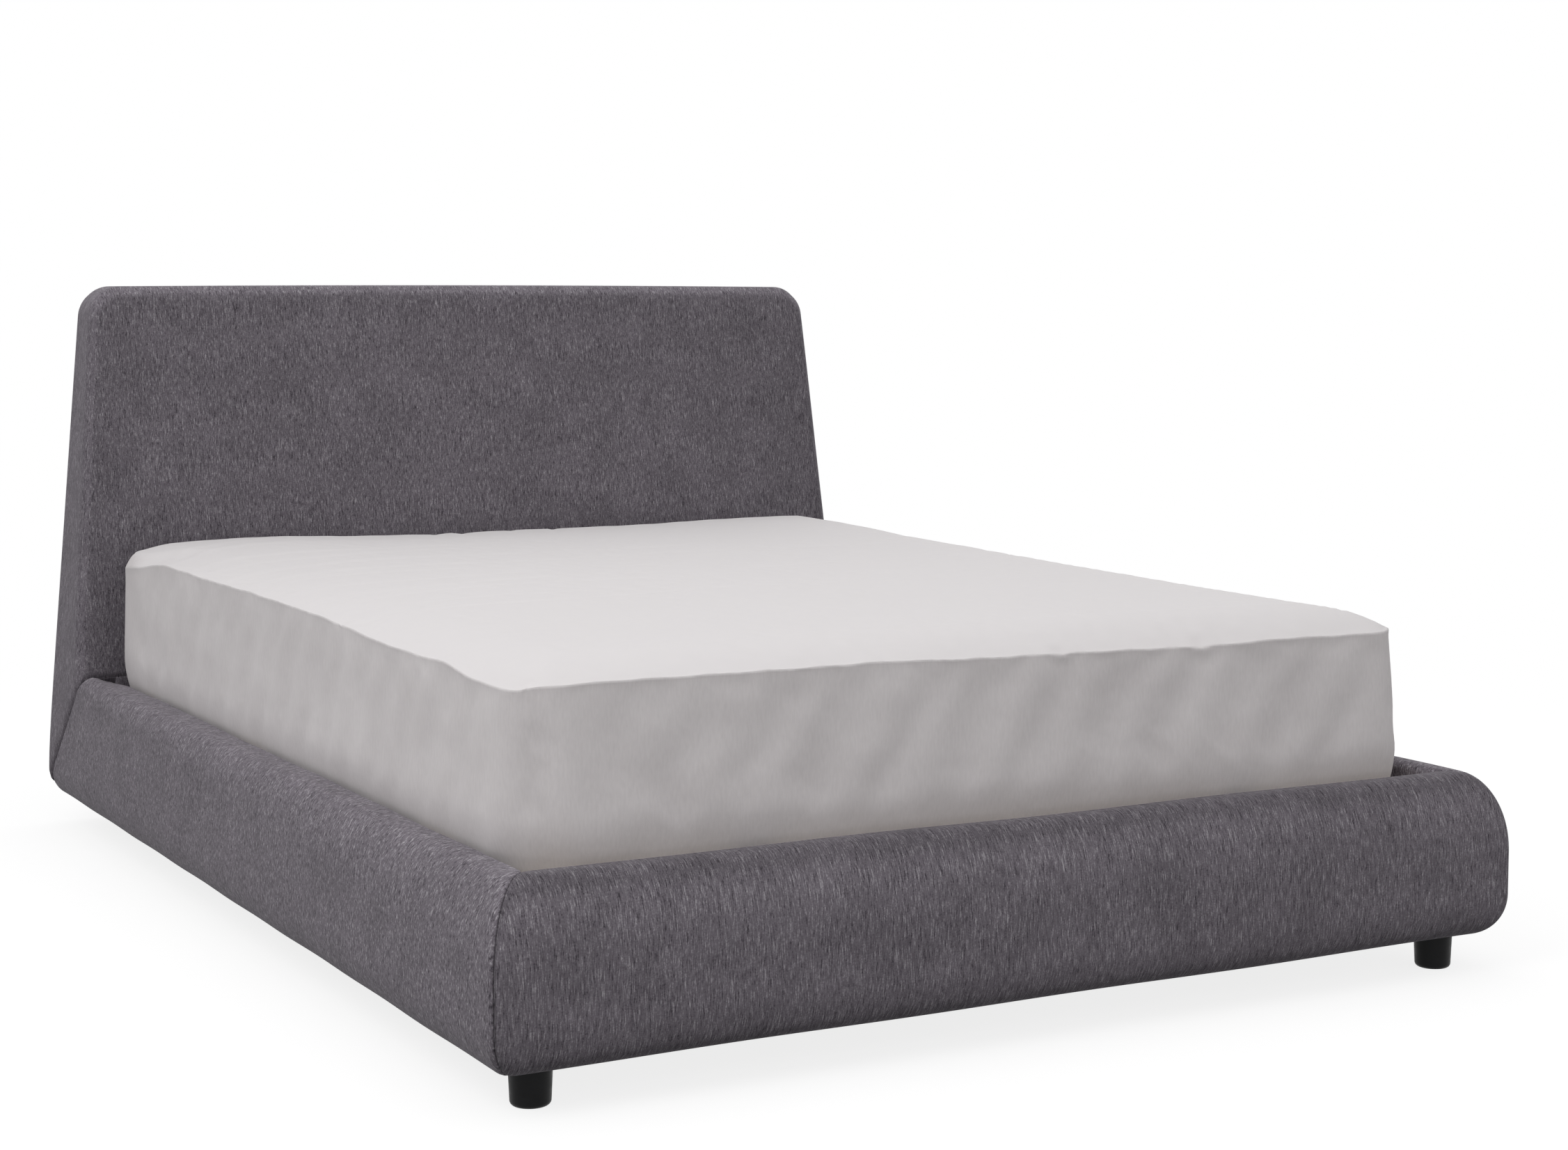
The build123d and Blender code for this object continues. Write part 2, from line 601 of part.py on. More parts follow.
def bolt_group(plane, places, shank):
    """Bolts at places on a plane: hexagon heads on it, shanks running behind it."""
    with BuildPart() as group:
        with BuildSketch(plane):
            with Locations(*places):
                RegularPolygon(BOLT_HEAD_RADIUS, 6)
        extrude(amount=BOLT_HEAD)
        with BuildSketch(plane):
            with Locations(*places):
                Circle(BOLT_RADIUS)
        extrude(amount=-shank)
    return group.part


GUSSET_FACE = Plane((-GUSSET_INNER, 0, 0), x_dir=(0, 1, 0), z_dir=(1, 0, 0))
RAIL_BOLT_SHANK = BOARD_FACE - GUSSET_INNER + BOLT_DEPTH
left_rail_bolts = bolt_group(GUSSET_FACE, RAIL_BOLT_PLACES, RAIL_BOLT_SHANK)
with BuildPart() as rail_bolts:
    add(left_rail_bolts)
    mirror(left_rail_bolts, about=Plane.YZ)
export(rail_bolts, "rail_bolts")

side_bracket_bolts = bolt_group(
    LEFT_BOLT_PLANE.offset(BRACKET_SHEET),
    [(BRACKET_BOLT_Y, height) for height in BRACKET_BOLT_HEIGHTS],
    BRACKET_SHEET + BOLT_DEPTH,
)
foot_bracket_bolts = bolt_group(
    Plane((0, FOOT_BOARD_FACE + BRACKET_SHEET, 0), x_dir=(-1, 0, 0), z_dir=(0, 1, 0)),
    FOOT_BOLT_PLACES,
    BRACKET_SHEET + BOLT_DEPTH,
)
with BuildPart() as bracket_bolts:
    add(side_bracket_bolts)
    mirror(side_bracket_bolts, about=Plane.YZ)
    add(foot_bracket_bolts)
export(bracket_bolts, "corner_bracket_bolts")

# Ledgers along the rails, with the slats across them
LEDGER_FRONT = FOOT_BOARD_FACE + BRACKET_SHEET
LEDGER_BACK = GUSSET_FRONT - FIT
with BuildPart() as left_ledger:
    block(
        (-BOARD_FACE, -BOARD_FACE + LEDGER_WIDTH),
        (LEDGER_FRONT, LEDGER_BACK),
        (SLAT_UNDERSIDE - LEDGER_HEIGHT, SLAT_UNDERSIDE),
    )
export(left_ledger, "left_slat_ledger")

with BuildPart() as right_ledger:
    mirror(left_ledger.part, about=Plane.YZ)
export(right_ledger, "right_slat_ledger")

SLAT_PITCH = (LAST_SLAT - FIRST_SLAT) / (SLAT_COUNT - 1)
for number in range(SLAT_COUNT):
    slat_middle = FIRST_SLAT + number * SLAT_PITCH
    with BuildPart() as slat:
        with Locations((0, slat_middle, SLAT_UNDERSIDE + SLAT_THICKNESS / 2)):
            Box(2 * SLAT_HALF_LENGTH, SLAT_WIDTH, SLAT_THICKNESS)
        chamfer(slat.edges().filter_by(Axis.X).group_by(Axis.Z)[-1], SLAT_EDGE)
    export(slat, f"slat_{number + 1:02d}")

STRAP_FRONT = FIRST_SLAT - SLAT_WIDTH / 2 + SLAT_EDGE
STRAP_BACK = LAST_SLAT + SLAT_WIDTH / 2 - SLAT_EDGE
with BuildPart() as slat_straps:
    for strap_middle in (-STRAP_OFFSET, STRAP_OFFSET):
        block(
            (strap_middle - STRAP_WIDTH / 2, strap_middle + STRAP_WIDTH / 2),
            (STRAP_FRONT, STRAP_BACK),
            (DECK_TOP, DECK_TOP + STRAP_THICKNESS),
        )
export(slat_straps, "slat_straps")

# Centre beam in its two steel hangers
BEAM_FRONT = FOOT_BOARD_FACE + HANGER_SHEET
BEAM_BACK = BOTTOM_RAIL_FRONT - HANGER_SHEET
HALF_BEAM = BEAM_WIDTH / 2
with BuildPart() as centre_beam:
    block((-HALF_BEAM, HALF_BEAM), (BEAM_FRONT, BEAM_BACK), (BEAM_BOTTOM, SLAT_UNDERSIDE))
export(centre_beam, "centre_beam")

# Each hanger: its shoe along the beam, then the flange that lies on the board or rail
FOOT_SHOE_END = FOOT_BOARD_FACE + HANGER_DEPTH
HEAD_SHOE_END = BOTTOM_RAIL_FRONT - HANGER_DEPTH
HANGER_SPANS = {
    "foot_beam_hanger": ((FOOT_BOARD_FACE, FOOT_SHOE_END), (FOOT_BOARD_FACE, BEAM_FRONT)),
    "head_beam_hanger": ((HEAD_SHOE_END, BOTTOM_RAIL_FRONT), (BEAM_BACK, BOTTOM_RAIL_FRONT)),
}
HANGER_HALF = HALF_BEAM + HANGER_SHEET
FLANGE_HALF = HANGER_HALF + HANGER_FLANGE
HANGER_HEIGHTS = (BEAM_BOTTOM - HANGER_SHEET, SLAT_UNDERSIDE)
for hanger_name, (shoe_span, flange_span) in HANGER_SPANS.items():
    with BuildPart() as hanger:
        block((-HANGER_HALF, HANGER_HALF), shoe_span, HANGER_HEIGHTS)
        block((-FLANGE_HALF, FLANGE_HALF), flange_span, HANGER_HEIGHTS)
        block((-HALF_BEAM, HALF_BEAM), (BEAM_FRONT, BEAM_BACK), (BEAM_BOTTOM, DECK_TOP), mode=Mode.SUBTRACT)
    export(hanger, hanger_name)

# Centre legs, each with a levelling stud and a pad
for leg_name, leg_y in LEG_PLACES.items():
    with BuildPart() as leg:
        with BuildSketch(Plane((0, leg_y, LEG_BOTTOM))):
            Circle(LEG_FOOT_RADIUS)
        with BuildSketch(Plane((0, leg_y, BEAM_BOTTOM))):
            Circle(LEG_RADIUS)
        loft()
        with BuildSketch(Plane((0, leg_y, LEG_BOTTOM))):
            Circle(STUD_BORE_RADIUS)
        extrude(amount=STUD_BORE_TOP - LEG_BOTTOM, mode=Mode.SUBTRACT)
    export(leg, f"{leg_name}_centre_leg")

    socket_floor = PAD_HEIGHT - PAD_SOCKET_DEPTH
    with BuildPart() as stud:
        with BuildSketch(Plane((0, leg_y, socket_floor + RUNNING))):
            Circle(STUD_RADIUS)
        extrude(amount=STUD_TOP - socket_floor)
        with BuildSketch(Plane((0, leg_y, STUD_COLLAR_HEIGHTS[0]))):
            RegularPolygon(STUD_COLLAR_RADIUS, 6)
        extrude(amount=STUD_COLLAR_HEIGHTS[1] - STUD_COLLAR_HEIGHTS[0])
    export(stud, f"{leg_name}_leveller_stud")

    with BuildPart() as pad:
        with BuildSketch(Plane((0, leg_y, 0))):
            Circle(PAD_RADIUS)
        with BuildSketch(Plane((0, leg_y, PAD_HEIGHT))):
            Circle(PAD_TOP_RADIUS)
        loft()
        with BuildSketch(Plane((0, leg_y, socket_floor))):
            Circle(STUD_RADIUS + RUNNING)
        extrude(amount=PAD_HEIGHT, mode=Mode.SUBTRACT)
    export(pad, f"{leg_name}_leveller_pad")


def rounding(radius, distance):
    """How far a quarter round of a radius is still drawn in at a distance from its start."""
    reach = max(radius - distance, 0)
    return radius - sqrt(radius**2 - reach**2)


def pillow_rise(distance):
    """How far the top has risen above the crease round it, at a distance in from the edge."""
    short = max(1 - distance / MATTRESS_PILLOW, 0)
    full_rise = MATTRESS_TOP - MATTRESS_CROWN - MATTRESS_CREASE
    return max(full_rise * (1 - short**2), LEAST_RISE)


def mattress_section(inset, distance, y):
    """One cross-section of the mattress: flat below, flared sides and a pillow top inside a crease."""
    half = MATTRESS_HALF - inset - rounding(MATTRESS_CORNER - inset, distance)
    low_half = half + MATTRESS_FLARE
    bottom = MATTRESS_BOTTOM + inset + rounding(MATTRESS_LOW_EDGE - inset, distance)
    low_edge = MATTRESS_LOW_EDGE - inset
    side_start = bottom + low_edge
    crease = MATTRESS_CREASE - inset
    rise = pillow_rise(distance)
    shoulder = crease + rise
    half_up = crease + PILLOW_MIDDLE * rise
    crown = shoulder + MATTRESS_CROWN * rise / pillow_rise(MATTRESS_PILLOW)
    inner = half - MATTRESS_PILLOW
    between = half - MATTRESS_PILLOW / 2
    with BuildSketch(Plane((MATTRESS_SHIFT, y, 0), x_dir=(1, 0, 0), z_dir=(0, -1, 0))) as section:
        with BuildLine():
            Line((low_edge - low_half, bottom), (low_half - low_edge, bottom))
            CenterArc((low_half - low_edge, side_start), low_edge, 270, 90)
            Line((low_half, side_start), (half, crease))
            ThreePointArc((half, crease), (between, half_up), (inner, shoulder))
            ThreePointArc((inner, shoulder), (0, crown), (-inner, shoulder))
            ThreePointArc((-inner, shoulder), (-between, half_up), (-half, crease))
            Line((-half, crease), (-low_half, side_start))
            CenterArc((low_edge - low_half, side_start), low_edge, 180, 90)
        make_face()
    return section.sketch


def mattress_form(inset):
    """The mattress's soft outline, drawn in all round by inset."""
    front = MATTRESS_FRONT + inset
    back = MATTRESS_BACK - inset
    front_sections = [mattress_section(inset, step, front + step) for step in END_STEPS]
    back_sections = [mattress_section(inset, step, back - step) for step in reversed(END_STEPS)]
    with BuildPart() as form:
        loft(front_sections + back_sections, ruled=True)
    return form.part


sheet_outside = mattress_form(0)
sheet_inside = mattress_form(SHEET)
with BuildPart() as fitted_sheet:
    add(sheet_outside)
    add(sheet_inside, mode=Mode.SUBTRACT)
    block(
        (MATTRESS_SHIFT - MATTRESS_HALF + SHEET_TUCK, MATTRESS_SHIFT + MATTRESS_HALF - SHEET_TUCK),
        (MATTRESS_FRONT + SHEET_TUCK, MATTRESS_BACK - SHEET_TUCK),
        (MATTRESS_BOTTOM - SHEET_TUCK, MATTRESS_BOTTOM + MATTRESS_LOW_EDGE),
        mode=Mode.SUBTRACT,
    )
export(fitted_sheet, "fitted_sheet")

with BuildPart() as mattress:
    add(mattress_form(SHEET + SHEET_CLEARANCE))
export(mattress, "mattress")
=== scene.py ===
import math

import bmesh
import bpy
import numpy as np
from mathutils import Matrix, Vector


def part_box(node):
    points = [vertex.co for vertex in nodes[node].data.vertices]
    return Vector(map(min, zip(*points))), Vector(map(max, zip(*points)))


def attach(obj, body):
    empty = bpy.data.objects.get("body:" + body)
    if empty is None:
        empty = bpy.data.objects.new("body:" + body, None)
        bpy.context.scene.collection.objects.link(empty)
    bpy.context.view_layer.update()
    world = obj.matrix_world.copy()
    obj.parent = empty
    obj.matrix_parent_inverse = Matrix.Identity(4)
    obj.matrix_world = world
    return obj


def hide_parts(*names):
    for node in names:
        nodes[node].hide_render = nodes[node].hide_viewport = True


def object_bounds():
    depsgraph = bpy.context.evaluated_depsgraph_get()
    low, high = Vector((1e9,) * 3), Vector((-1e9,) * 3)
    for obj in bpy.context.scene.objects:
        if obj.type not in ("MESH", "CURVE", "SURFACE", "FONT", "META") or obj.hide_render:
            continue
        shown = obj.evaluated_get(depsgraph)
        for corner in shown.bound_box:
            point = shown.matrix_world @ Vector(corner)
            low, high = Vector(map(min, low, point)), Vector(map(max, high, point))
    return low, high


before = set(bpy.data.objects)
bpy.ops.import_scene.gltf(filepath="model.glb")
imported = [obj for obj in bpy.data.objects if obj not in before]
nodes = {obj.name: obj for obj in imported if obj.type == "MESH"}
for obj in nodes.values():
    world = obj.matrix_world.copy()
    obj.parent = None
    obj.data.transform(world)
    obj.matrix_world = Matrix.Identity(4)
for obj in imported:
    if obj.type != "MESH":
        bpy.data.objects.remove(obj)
cad_low, cad_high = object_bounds()
scene = bpy.context.scene

# Sizes in metres, read from the frame or repeated from the padded pieces' sections
rail_low, rail_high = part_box("left_rail_cover")
_, head_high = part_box("headboard_cover")
sheet_low, sheet_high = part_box("fitted_sheet")
HALF_LENGTH = cad_high.y
RAIL_HALF_SPAN = -rail_low.x
RAIL_BOTTOM = rail_low.z
RAIL_TOP = rail_high.z
RAIL_DEPTH = rail_high.x - rail_low.x
BELLY = (0.044, 0.122)
FOOT_SHOULDER = (0.0, 0.190, 0.060)
HEAD_SHOULDER = (0.012, 0.295, 0.018)
FULL_LENGTH = 0.160
LIP_RADIUS = 0.012
LOW_LIP_RADIUS = 0.006
CREST_RISE = 0.007
CREST_DROP = 0.008
CREST_DEPTH = 0.030
CREST_WIDTH = 0.020
CREST_LENGTH = 0.150
TURN_IN_LOW = 0.100
TURN_IN_HIGH = 0.258
SEAM_GAP = 0.0005
CLOTH_THICKNESS = 0.0018

# Mesh spacing and the softness of the padded ends
PROFILE_STEP = 0.007
PROFILE_COUNTS = (8, 6, 6, 22, 16, 16, 6, 4, 8)
LENGTH_STEP = 0.010
ARC_COUNT = 24
WELD = 0.00005
WAVE_HEIGHT = 0.0010
CORNER_ROUND = 0.016
SEAM_ROUND = 0.0040
CHEEK_END_ROUND = 0.003
CHEEK_TOP_ROUND = 0.022
BOARD_TOP_ROUND = 0.007
BOARD_DEPTH = (0.045, 0.061)
CHEEK_TURN_IN = 0.030
SEAM_ALLOWANCE = 0.010
END_ZONE = 0.024
END_SHARES = (0.0, 0.03, 0.08, 0.15, 0.24, 0.35, 0.50, 0.70, 1.0)

# Headboard wedge, its lining and the skirt of its cover
HEAD_TOP = head_high.z
HEAD_BOTTOM = 0.084
HEAD_HALF_BOTTOM = 0.874
HEAD_HALF_TOP = 0.797
FRONT_AT_RAIL_TOP = 0.960
FRONT_LEAN = 0.0927
FRONT_FOAM = 0.040
FRONT_SWELL = 0.006
TOP_CROWN = 0.004
BACK_LEAN = 0.018
TOP_CORNER_RADIUS = 0.058
FRONT_ROUND = 0.030
BACK_ROUND = 0.014
CHEEK_SLOPE = (HALF_LENGTH - FRONT_AT_RAIL_TOP) / (RAIL_TOP - HEAD_BOTTOM)
CHEEK_INNER = 0.768
CHEEK_TUCK = 0.012
CHEEK_TUCK_TOP = 0.125
CHEEK_FLUSH = 0.005
CHEEK_FLUSH_REACH = 0.035
CHEEK_SEAM_ROUND = 0.0035
CHEEK_SOFT_WIDTH = 0.060
HEAD_STEP = 0.012
SKIRT_FRONT = 0.9595
SKIRT_BOTTOM = 0.2545
SKIRT_HALF = 0.7796
SKIRT_TURN = 0.016
SKIRT_LAP = 0.020
SKIRT_TUCK = 0.005
SKIRT_UNDER = 0.012
SKIRT_COUNT = 130
HEM_HALF = 0.795
HEM_TOP = 0.098
HEM_BOTTOM = 0.0585
LINING_MARGIN = 0.040
LINING_BOTTOM = 0.125
LINING_TOP = 1.037
LINING_LAP = 0.008
LINING_HOLLOW = 0.005
LINING_OUT = 0.0014
LINING_FOLD = 0.0016
LINING_THICKNESS = 0.0006
PUCKER_HEIGHT = 0.0011
PUCKER_REACH = 0.03
COVER_UNDER_LINING = 0.016
STAPLE_HALF = 0.005
STAPLE_WIRE = 0.0008
STAPLE_PITCH = 0.060
STAPLE_SINK = 0.001
STAPLE_OUT = 0.0026
STAPLE_SHARE = 0.994

# Slack of the fitted sheet
CLOTH_FRAMES = 20
CLOTH_REACH = 0.0022
CLOTH = {
    "quality": 4,
    "mass": 0.15,
    "tension_stiffness": 12.0,
    "compression_stiffness": 12.0,
    "shear_stiffness": 6.0,
    "bending_stiffness": 0.8,
    "shrink_min": -0.0035,
    "pin_stiffness": 0.4,
}
HELD_TOP = 0.30
HELD_SIDE = 0.14
HELD_RISE = 0.060

# Mattress, sheet and straps
MATTRESS_SHIFT = (sheet_low.x + sheet_high.x) / 2
MATTRESS_HALF = 0.760
MATTRESS_CORNER = 0.066
MATTRESS_LOW_LEFT_CORNER = 0.115
MATTRESS_LOW_RIGHT_CORNER = 0.036
MATTRESS_BACK_CORNER = 0.036
MATTRESS_CREASE = 0.537
MATTRESS_SHOULDER = 0.567
PILLOW_FRONT = 0.130
PILLOW_BACK = 0.028
MATTRESS_CROWN = 0.005
MATTRESS_FLARE = 0.006
MATTRESS_ROLL_START = 0.72
MATTRESS_ROLL_IN = 0.012
MATTRESS_LOW_EDGE = 0.020
MATTRESS_INSET = 0.0065
CREASE_STEPS = (0.0, 0.003, 0.007, 0.013, 0.021, 0.030, 0.041, 0.053, 0.066)
SHEET_STEP = 0.012
SHEET_TUCK = 0.120
SHEET_THICKNESS = 0.0010
CREASE_REACH = 0.035
FOLD_FADE = 0.03
RIPPLE_COUNT = 12
RIPPLE_HEIGHT = 0.0014
STRAP_WIDTH = 0.040
STRAP_THICKNESS = 0.0014
STRAP_SAG = 0.0025
STRAP_STEP = 0.008
STAPLE_STEP = 0.025


class Nodes:
    """A shader tree, built up node by node."""

    def __init__(self, tree):
        self.tree = tree

    def wire(self, node, inputs):
        """Sets or links a node's inputs, which are named or numbered."""
        for key, value in inputs.items():
            socket = node.inputs[key]
            if isinstance(value, bpy.types.NodeSocket):
                self.tree.links.new(value, socket)
            else:
                socket.default_value = value

    def add(self, kind, inputs=None, **attributes):
        """A new node with its attributes set and its inputs wired."""
        node = self.tree.nodes.new(f"ShaderNode{kind}")
        for key, value in attributes.items():
            setattr(node, key, value)
        self.wire(node, inputs or {})
        return node

    def math(self, operation, a, b=0.0):
        """One arithmetic step."""
        return self.add("Math", {0: a, 1: b}, operation=operation).outputs[0]

    def shader(self, kind, *inputs, **named):
        """What a shader node gives."""
        wired = dict(enumerate(inputs)) | {key.title(): value for key, value in named.items()}
        return self.add(kind, wired).outputs[0]

    def looked_at(self):
        """1 where the camera or a reflection looks, 0 where light is carried."""
        path = self.add("LightPath").outputs
        seen = self.math("MAXIMUM", path["Is Camera Ray"], path["Is Glossy Ray"])
        return self.math("MAXIMUM", seen, path["Is Transmission Ray"])


class Finish(Nodes):
    """A procedural material on one shader."""

    def __init__(self, name, **shader_inputs):
        self.material = bpy.data.materials.new(name)
        self.material.use_nodes = True
        super().__init__(self.material.node_tree)
        self.principled = self.tree.nodes["Principled BSDF"]
        self.coordinates = self.add("TexCoord").outputs["Object"]
        self.shade(**shader_inputs)

    def shade(self, **inputs):
        """Sets or links the shader's inputs."""
        names = [key.replace("_", " ").title().replace("Ior", "IOR") for key in inputs]
        self.wire(self.principled, dict(zip(names, inputs.values())))

    def texture(self, kind, sizes, inputs=None, **attributes):
        """A texture's outputs, in grains of these sizes over the piece."""
        grains = [1 / size for size in np.broadcast_to(sizes, 3)]
        place = self.add("Mapping", {"Vector": self.coordinates, "Scale": grains}).outputs["Vector"]
        wired = {"Vector": place, "Scale": 1.0} | (inputs or {})
        return self.add(f"Tex{kind}", wired, **attributes).outputs

    def noise(self, sizes, detail, roughness, distortion=0.0):
        """Soft noise from 0 to 1."""
        inputs = {"Detail": detail, "Roughness": roughness, "Distortion": distortion}
        return self.texture("Noise", sizes, inputs)["Fac"]

    def ramp(self, value, stops):
        """A colour from a value, by (place, colour) stops."""
        node = self.add("ValToRGB", {"Fac": value})
        band = node.color_ramp
        while len(band.elements) < len(stops):
            band.elements.new(0.5)
        for element, (place, colour) in zip(band.elements, stops):
            element.position = place
            element.color = (*colour, 1.0)
        return node.outputs["Color"]

    def mix(self, factor, a, b, blend="MIX"):
        """Two colours mixed by a factor."""
        colours = [value if isinstance(value, bpy.types.NodeSocket) else (*value, 1.0) for value in (a, b)]
        inputs = {0: factor, 6: colours[0], 7: colours[1]}
        return self.add("Mix", inputs, data_type="RGBA", blend_type=blend).outputs[2]

    def blend(self, factor, a, b):
        """Two numbers mixed by a factor."""
        return self.add("Mix", {0: factor, 2: a, 3: b}, data_type="FLOAT").outputs[0]

    def range(self, value, low, high, to_low=0.0, to_high=1.0):
        """A value's range moved to another, eased at both ends."""
        inputs = {"Value": value, "From Min": low, "From Max": high, "To Min": to_low, "To Max": to_high}
        return self.add("MapRange", inputs, interpolation_type="SMOOTHSTEP").outputs["Result"]

    def facing(self, axis):
        """How far the surface faces along an axis, from 0 to 1."""
        normal = self.add("NewGeometry").outputs["Normal"]
        return self.math("ABSOLUTE", self.add("SeparateXYZ", {"Vector": normal}).outputs[axis])

    def painted_facing_shade(self, front, other):
        """Painted light and shade: one tone where a surface faces an end of the bed, another where it faces
        another way.
        """
        return self.range(self.facing("Y"), 0.72, 0.95, other, front)

    def toned(self, colour, tone):
        """A colour made lighter or darker by a tone."""
        grey = self.add("CombineColor", {0: tone, 1: tone, 2: tone}).outputs[0]
        return self.mix(1.0, colour, grey, "MULTIPLY")

    def made(self, colour, height, strength, distance, **inputs):
        """The material, in a colour and with a bump from a height."""
        bump = self.add("Bump", {"Height": height, "Strength": strength, "Distance": distance})
        self.shade(base_color=colour, normal=bump.outputs["Normal"], **inputs)
        return self.material


# Materials

COVER_DARK = (0.054, 0.047, 0.056)
COVER_MAIN = (0.160, 0.143, 0.164)
COVER_LIGHT = (0.370, 0.350, 0.375)
PILE_SIZE = 0.0024


def cover_cloth(name, runs, fleck, front, other):
    """Chenille with short flecks, with painted light and shade: one tone on its front and another
    elsewhere.

    runs is the way across the flecks: X, Y, or XY for both.
    """
    cloth = Finish(name, roughness=0.92, sheen_weight=0.15, sheen_roughness=0.38, specular_ior_level=0.18)
    cloth.shade(sheen_tint=(0.92, 0.90, 0.94, 1.0))

    def grain(width, length, detail, roughness):
        sizes = {"X": (width, length, length), "Y": (length, width, length)}
        values = [cloth.noise(sizes[way], detail, roughness, distortion=0.35) for way in runs]
        if len(values) == 1:
            return values[0]
        return cloth.blend(cloth.range(cloth.facing("X"), 0.55, 0.8), *values)

    flecks = grain(*fleck, 1.0, 0.6)
    yarns = grain(fleck[0] * 2.6, fleck[1] * 2.2, 1.0, 0.5)
    pile = cloth.noise(PILE_SIZE, 2.0, 0.6)
    patches = cloth.noise(0.085, 3.0, 0.55)
    height = cloth.blend(0.30, cloth.blend(0.25, flecks, yarns), pile)
    stops = [(0.37, COVER_DARK), (0.47, COVER_MAIN), (0.53, COVER_MAIN), (0.65, COVER_LIGHT)]
    shading = cloth.range(patches, 0.25, 0.75, 0.91, 1.09)
    # Painted light and shade: front sets the tone where the surface faces an end of the bed, other
    # elsewhere, times random patches.
    tone = cloth.math("MULTIPLY", cloth.painted_facing_shade(front, other), shading)
    return cloth.made(cloth.toned(cloth.ramp(height, stops), tone), height, 0.45, 0.0012)


SHEET_TOP = (0.720, 0.696, 0.701)


def sheet_cotton():
    """Smooth off-white cotton with faint short slubs on its sides, and painted light on the faces towards
    the bed's ends.
    """
    cloth = Finish("sheet_cotton", roughness=0.82, sheen_weight=0.12, sheen_roughness=0.5)
    slubs = cloth.noise((0.0035, 0.0035, 0.016), 2.0, 0.55)
    clouds = cloth.noise((0.15, 0.15, 0.09), 3.0, 0.5)
    weave = cloth.noise(0.0011, 1.0, 0.5)
    calm = cloth.range(cloth.facing("Z"), 0.6, 0.95, 0.0, 0.75)
    mottle = cloth.blend(calm, cloth.blend(0.62, slubs, clouds), 0.5)
    sides = cloth.ramp(mottle, [(0.30, (0.663, 0.627, 0.631)), (0.70, (0.783, 0.747, 0.751))])
    # Painted light: faces towards the bed's ends are 8 % lighter.
    colour = cloth.toned(cloth.mix(calm, sides, SHEET_TOP), cloth.painted_facing_shade(1.08, 1.0))
    return cloth.made(colour, cloth.blend(0.4, weave, slubs), 0.25, 0.0006)


def ticking():
    """Pale mattress ticking with a woven stripe."""
    cloth = Finish("mattress_ticking", roughness=0.88)
    stripe = cloth.texture("Wave", (0.011, 1.0, 1.0), {"Distortion": 0.0})["Fac"]
    weave = cloth.noise((0.0012, 0.004, 0.0012), 2.0, 0.6)
    colour = cloth.ramp(stripe, [(0.55, (0.72, 0.70, 0.66)), (0.80, (0.46, 0.47, 0.50))])
    shade = cloth.ramp(weave, [(0.3, (0.55, 0.55, 0.55)), (0.7, (0.95, 0.95, 0.95))])
    return cloth.made(cloth.mix(0.5, colour, shade, "MULTIPLY"), weave, 0.4, 0.0008)


def lining_cloth():
    """Black spun-bonded lining with a faint dimpled print."""
    cloth = Finish("lining_cloth", roughness=0.80, sheen_weight=0.10)
    dimples = cloth.texture("Voronoi", 0.0032)["Distance"]
    fibres = cloth.noise((0.004, 0.02, 0.03), 4.0, 0.7)
    colour = cloth.ramp(fibres, [(0.3, (0.012, 0.012, 0.013)), (0.75, (0.040, 0.040, 0.043))])
    return cloth.made(colour, cloth.blend(0.5, dimples, fibres), 0.4, 0.0009)


def webbing():
    """Black polypropylene webbing with a ribbed weave."""
    cloth = Finish("webbing", roughness=0.7)
    waves = {"Scale": 0.32, "Distortion": 0.6}
    ribs = cloth.texture("Wave", (1.0, 0.0022, 1.0), waves, bands_direction="Y")["Fac"]
    weave = cloth.blend(0.5, ribs, cloth.noise((0.0018, 0.01, 0.01), 2.0, 0.5))
    colour = cloth.ramp(weave, [(0.2, (0.010, 0.010, 0.011)), (0.8, (0.045, 0.045, 0.050))])
    return cloth.made(colour, ribs, 0.6, 0.0006)


def black_satin():
    """Black moulded plastic with a fine grain and faint smears."""
    plastic = Finish("black_satin", specular_ior_level=0.14)
    grain = plastic.noise(0.0012, 2.0, 0.6)
    smears = plastic.noise((0.02, 0.02, 0.012), 3.0, 0.6)
    colour = plastic.ramp(smears, [(0.3, (0.005, 0.005, 0.0055)), (0.75, (0.012, 0.012, 0.013))])
    return plastic.made(colour, grain, 0.15, 0.0003, roughness=plastic.range(smears, 0.25, 0.75, 0.34, 0.5))


def wood(name, along, light, dark, ring):
    """Sawn timber with its grain along one axis."""
    timber = Finish(name)
    way = "XYZ".index(along)
    bands = timber.noise(np.roll((0.9, ring, ring), way), 3.0, 0.55, distortion=0.8)
    pores = timber.noise(np.roll((0.12, 0.0012, 0.0012), way), 3.0, 0.6)
    colour = timber.ramp(timber.blend(0.4, bands, pores), [(0.32, dark), (0.62, light)])
    return timber.made(colour, pores, 0.3, 0.0005, roughness=timber.range(pores, 0.3, 0.7, 0.55, 0.75))


def steel(name, colour, roughness, metallic):
    """Plated or painted steel with fine handling marks."""
    metal = Finish(name, metallic=metallic)
    marks = metal.noise((0.012, 0.003, 0.012), 4.0, 0.65)
    dark = tuple(0.7 * value for value in colour)
    worn = metal.range(marks, 0.3, 0.7, roughness - 0.08, roughness + 0.10)
    return metal.made(metal.ramp(marks, [(0.3, dark), (0.7, colour)]), marks, 0.1, 0.0003, roughness=worn)


# Meshes

def arc(centre, radii, start, end):
    """Points along an elliptical arc, between angles in degrees."""
    angles = np.radians(np.linspace(start, end, ARC_COUNT))
    return np.stack([centre[0] + radii[0] * np.cos(angles), centre[1] + radii[1] * np.sin(angles)], 1)


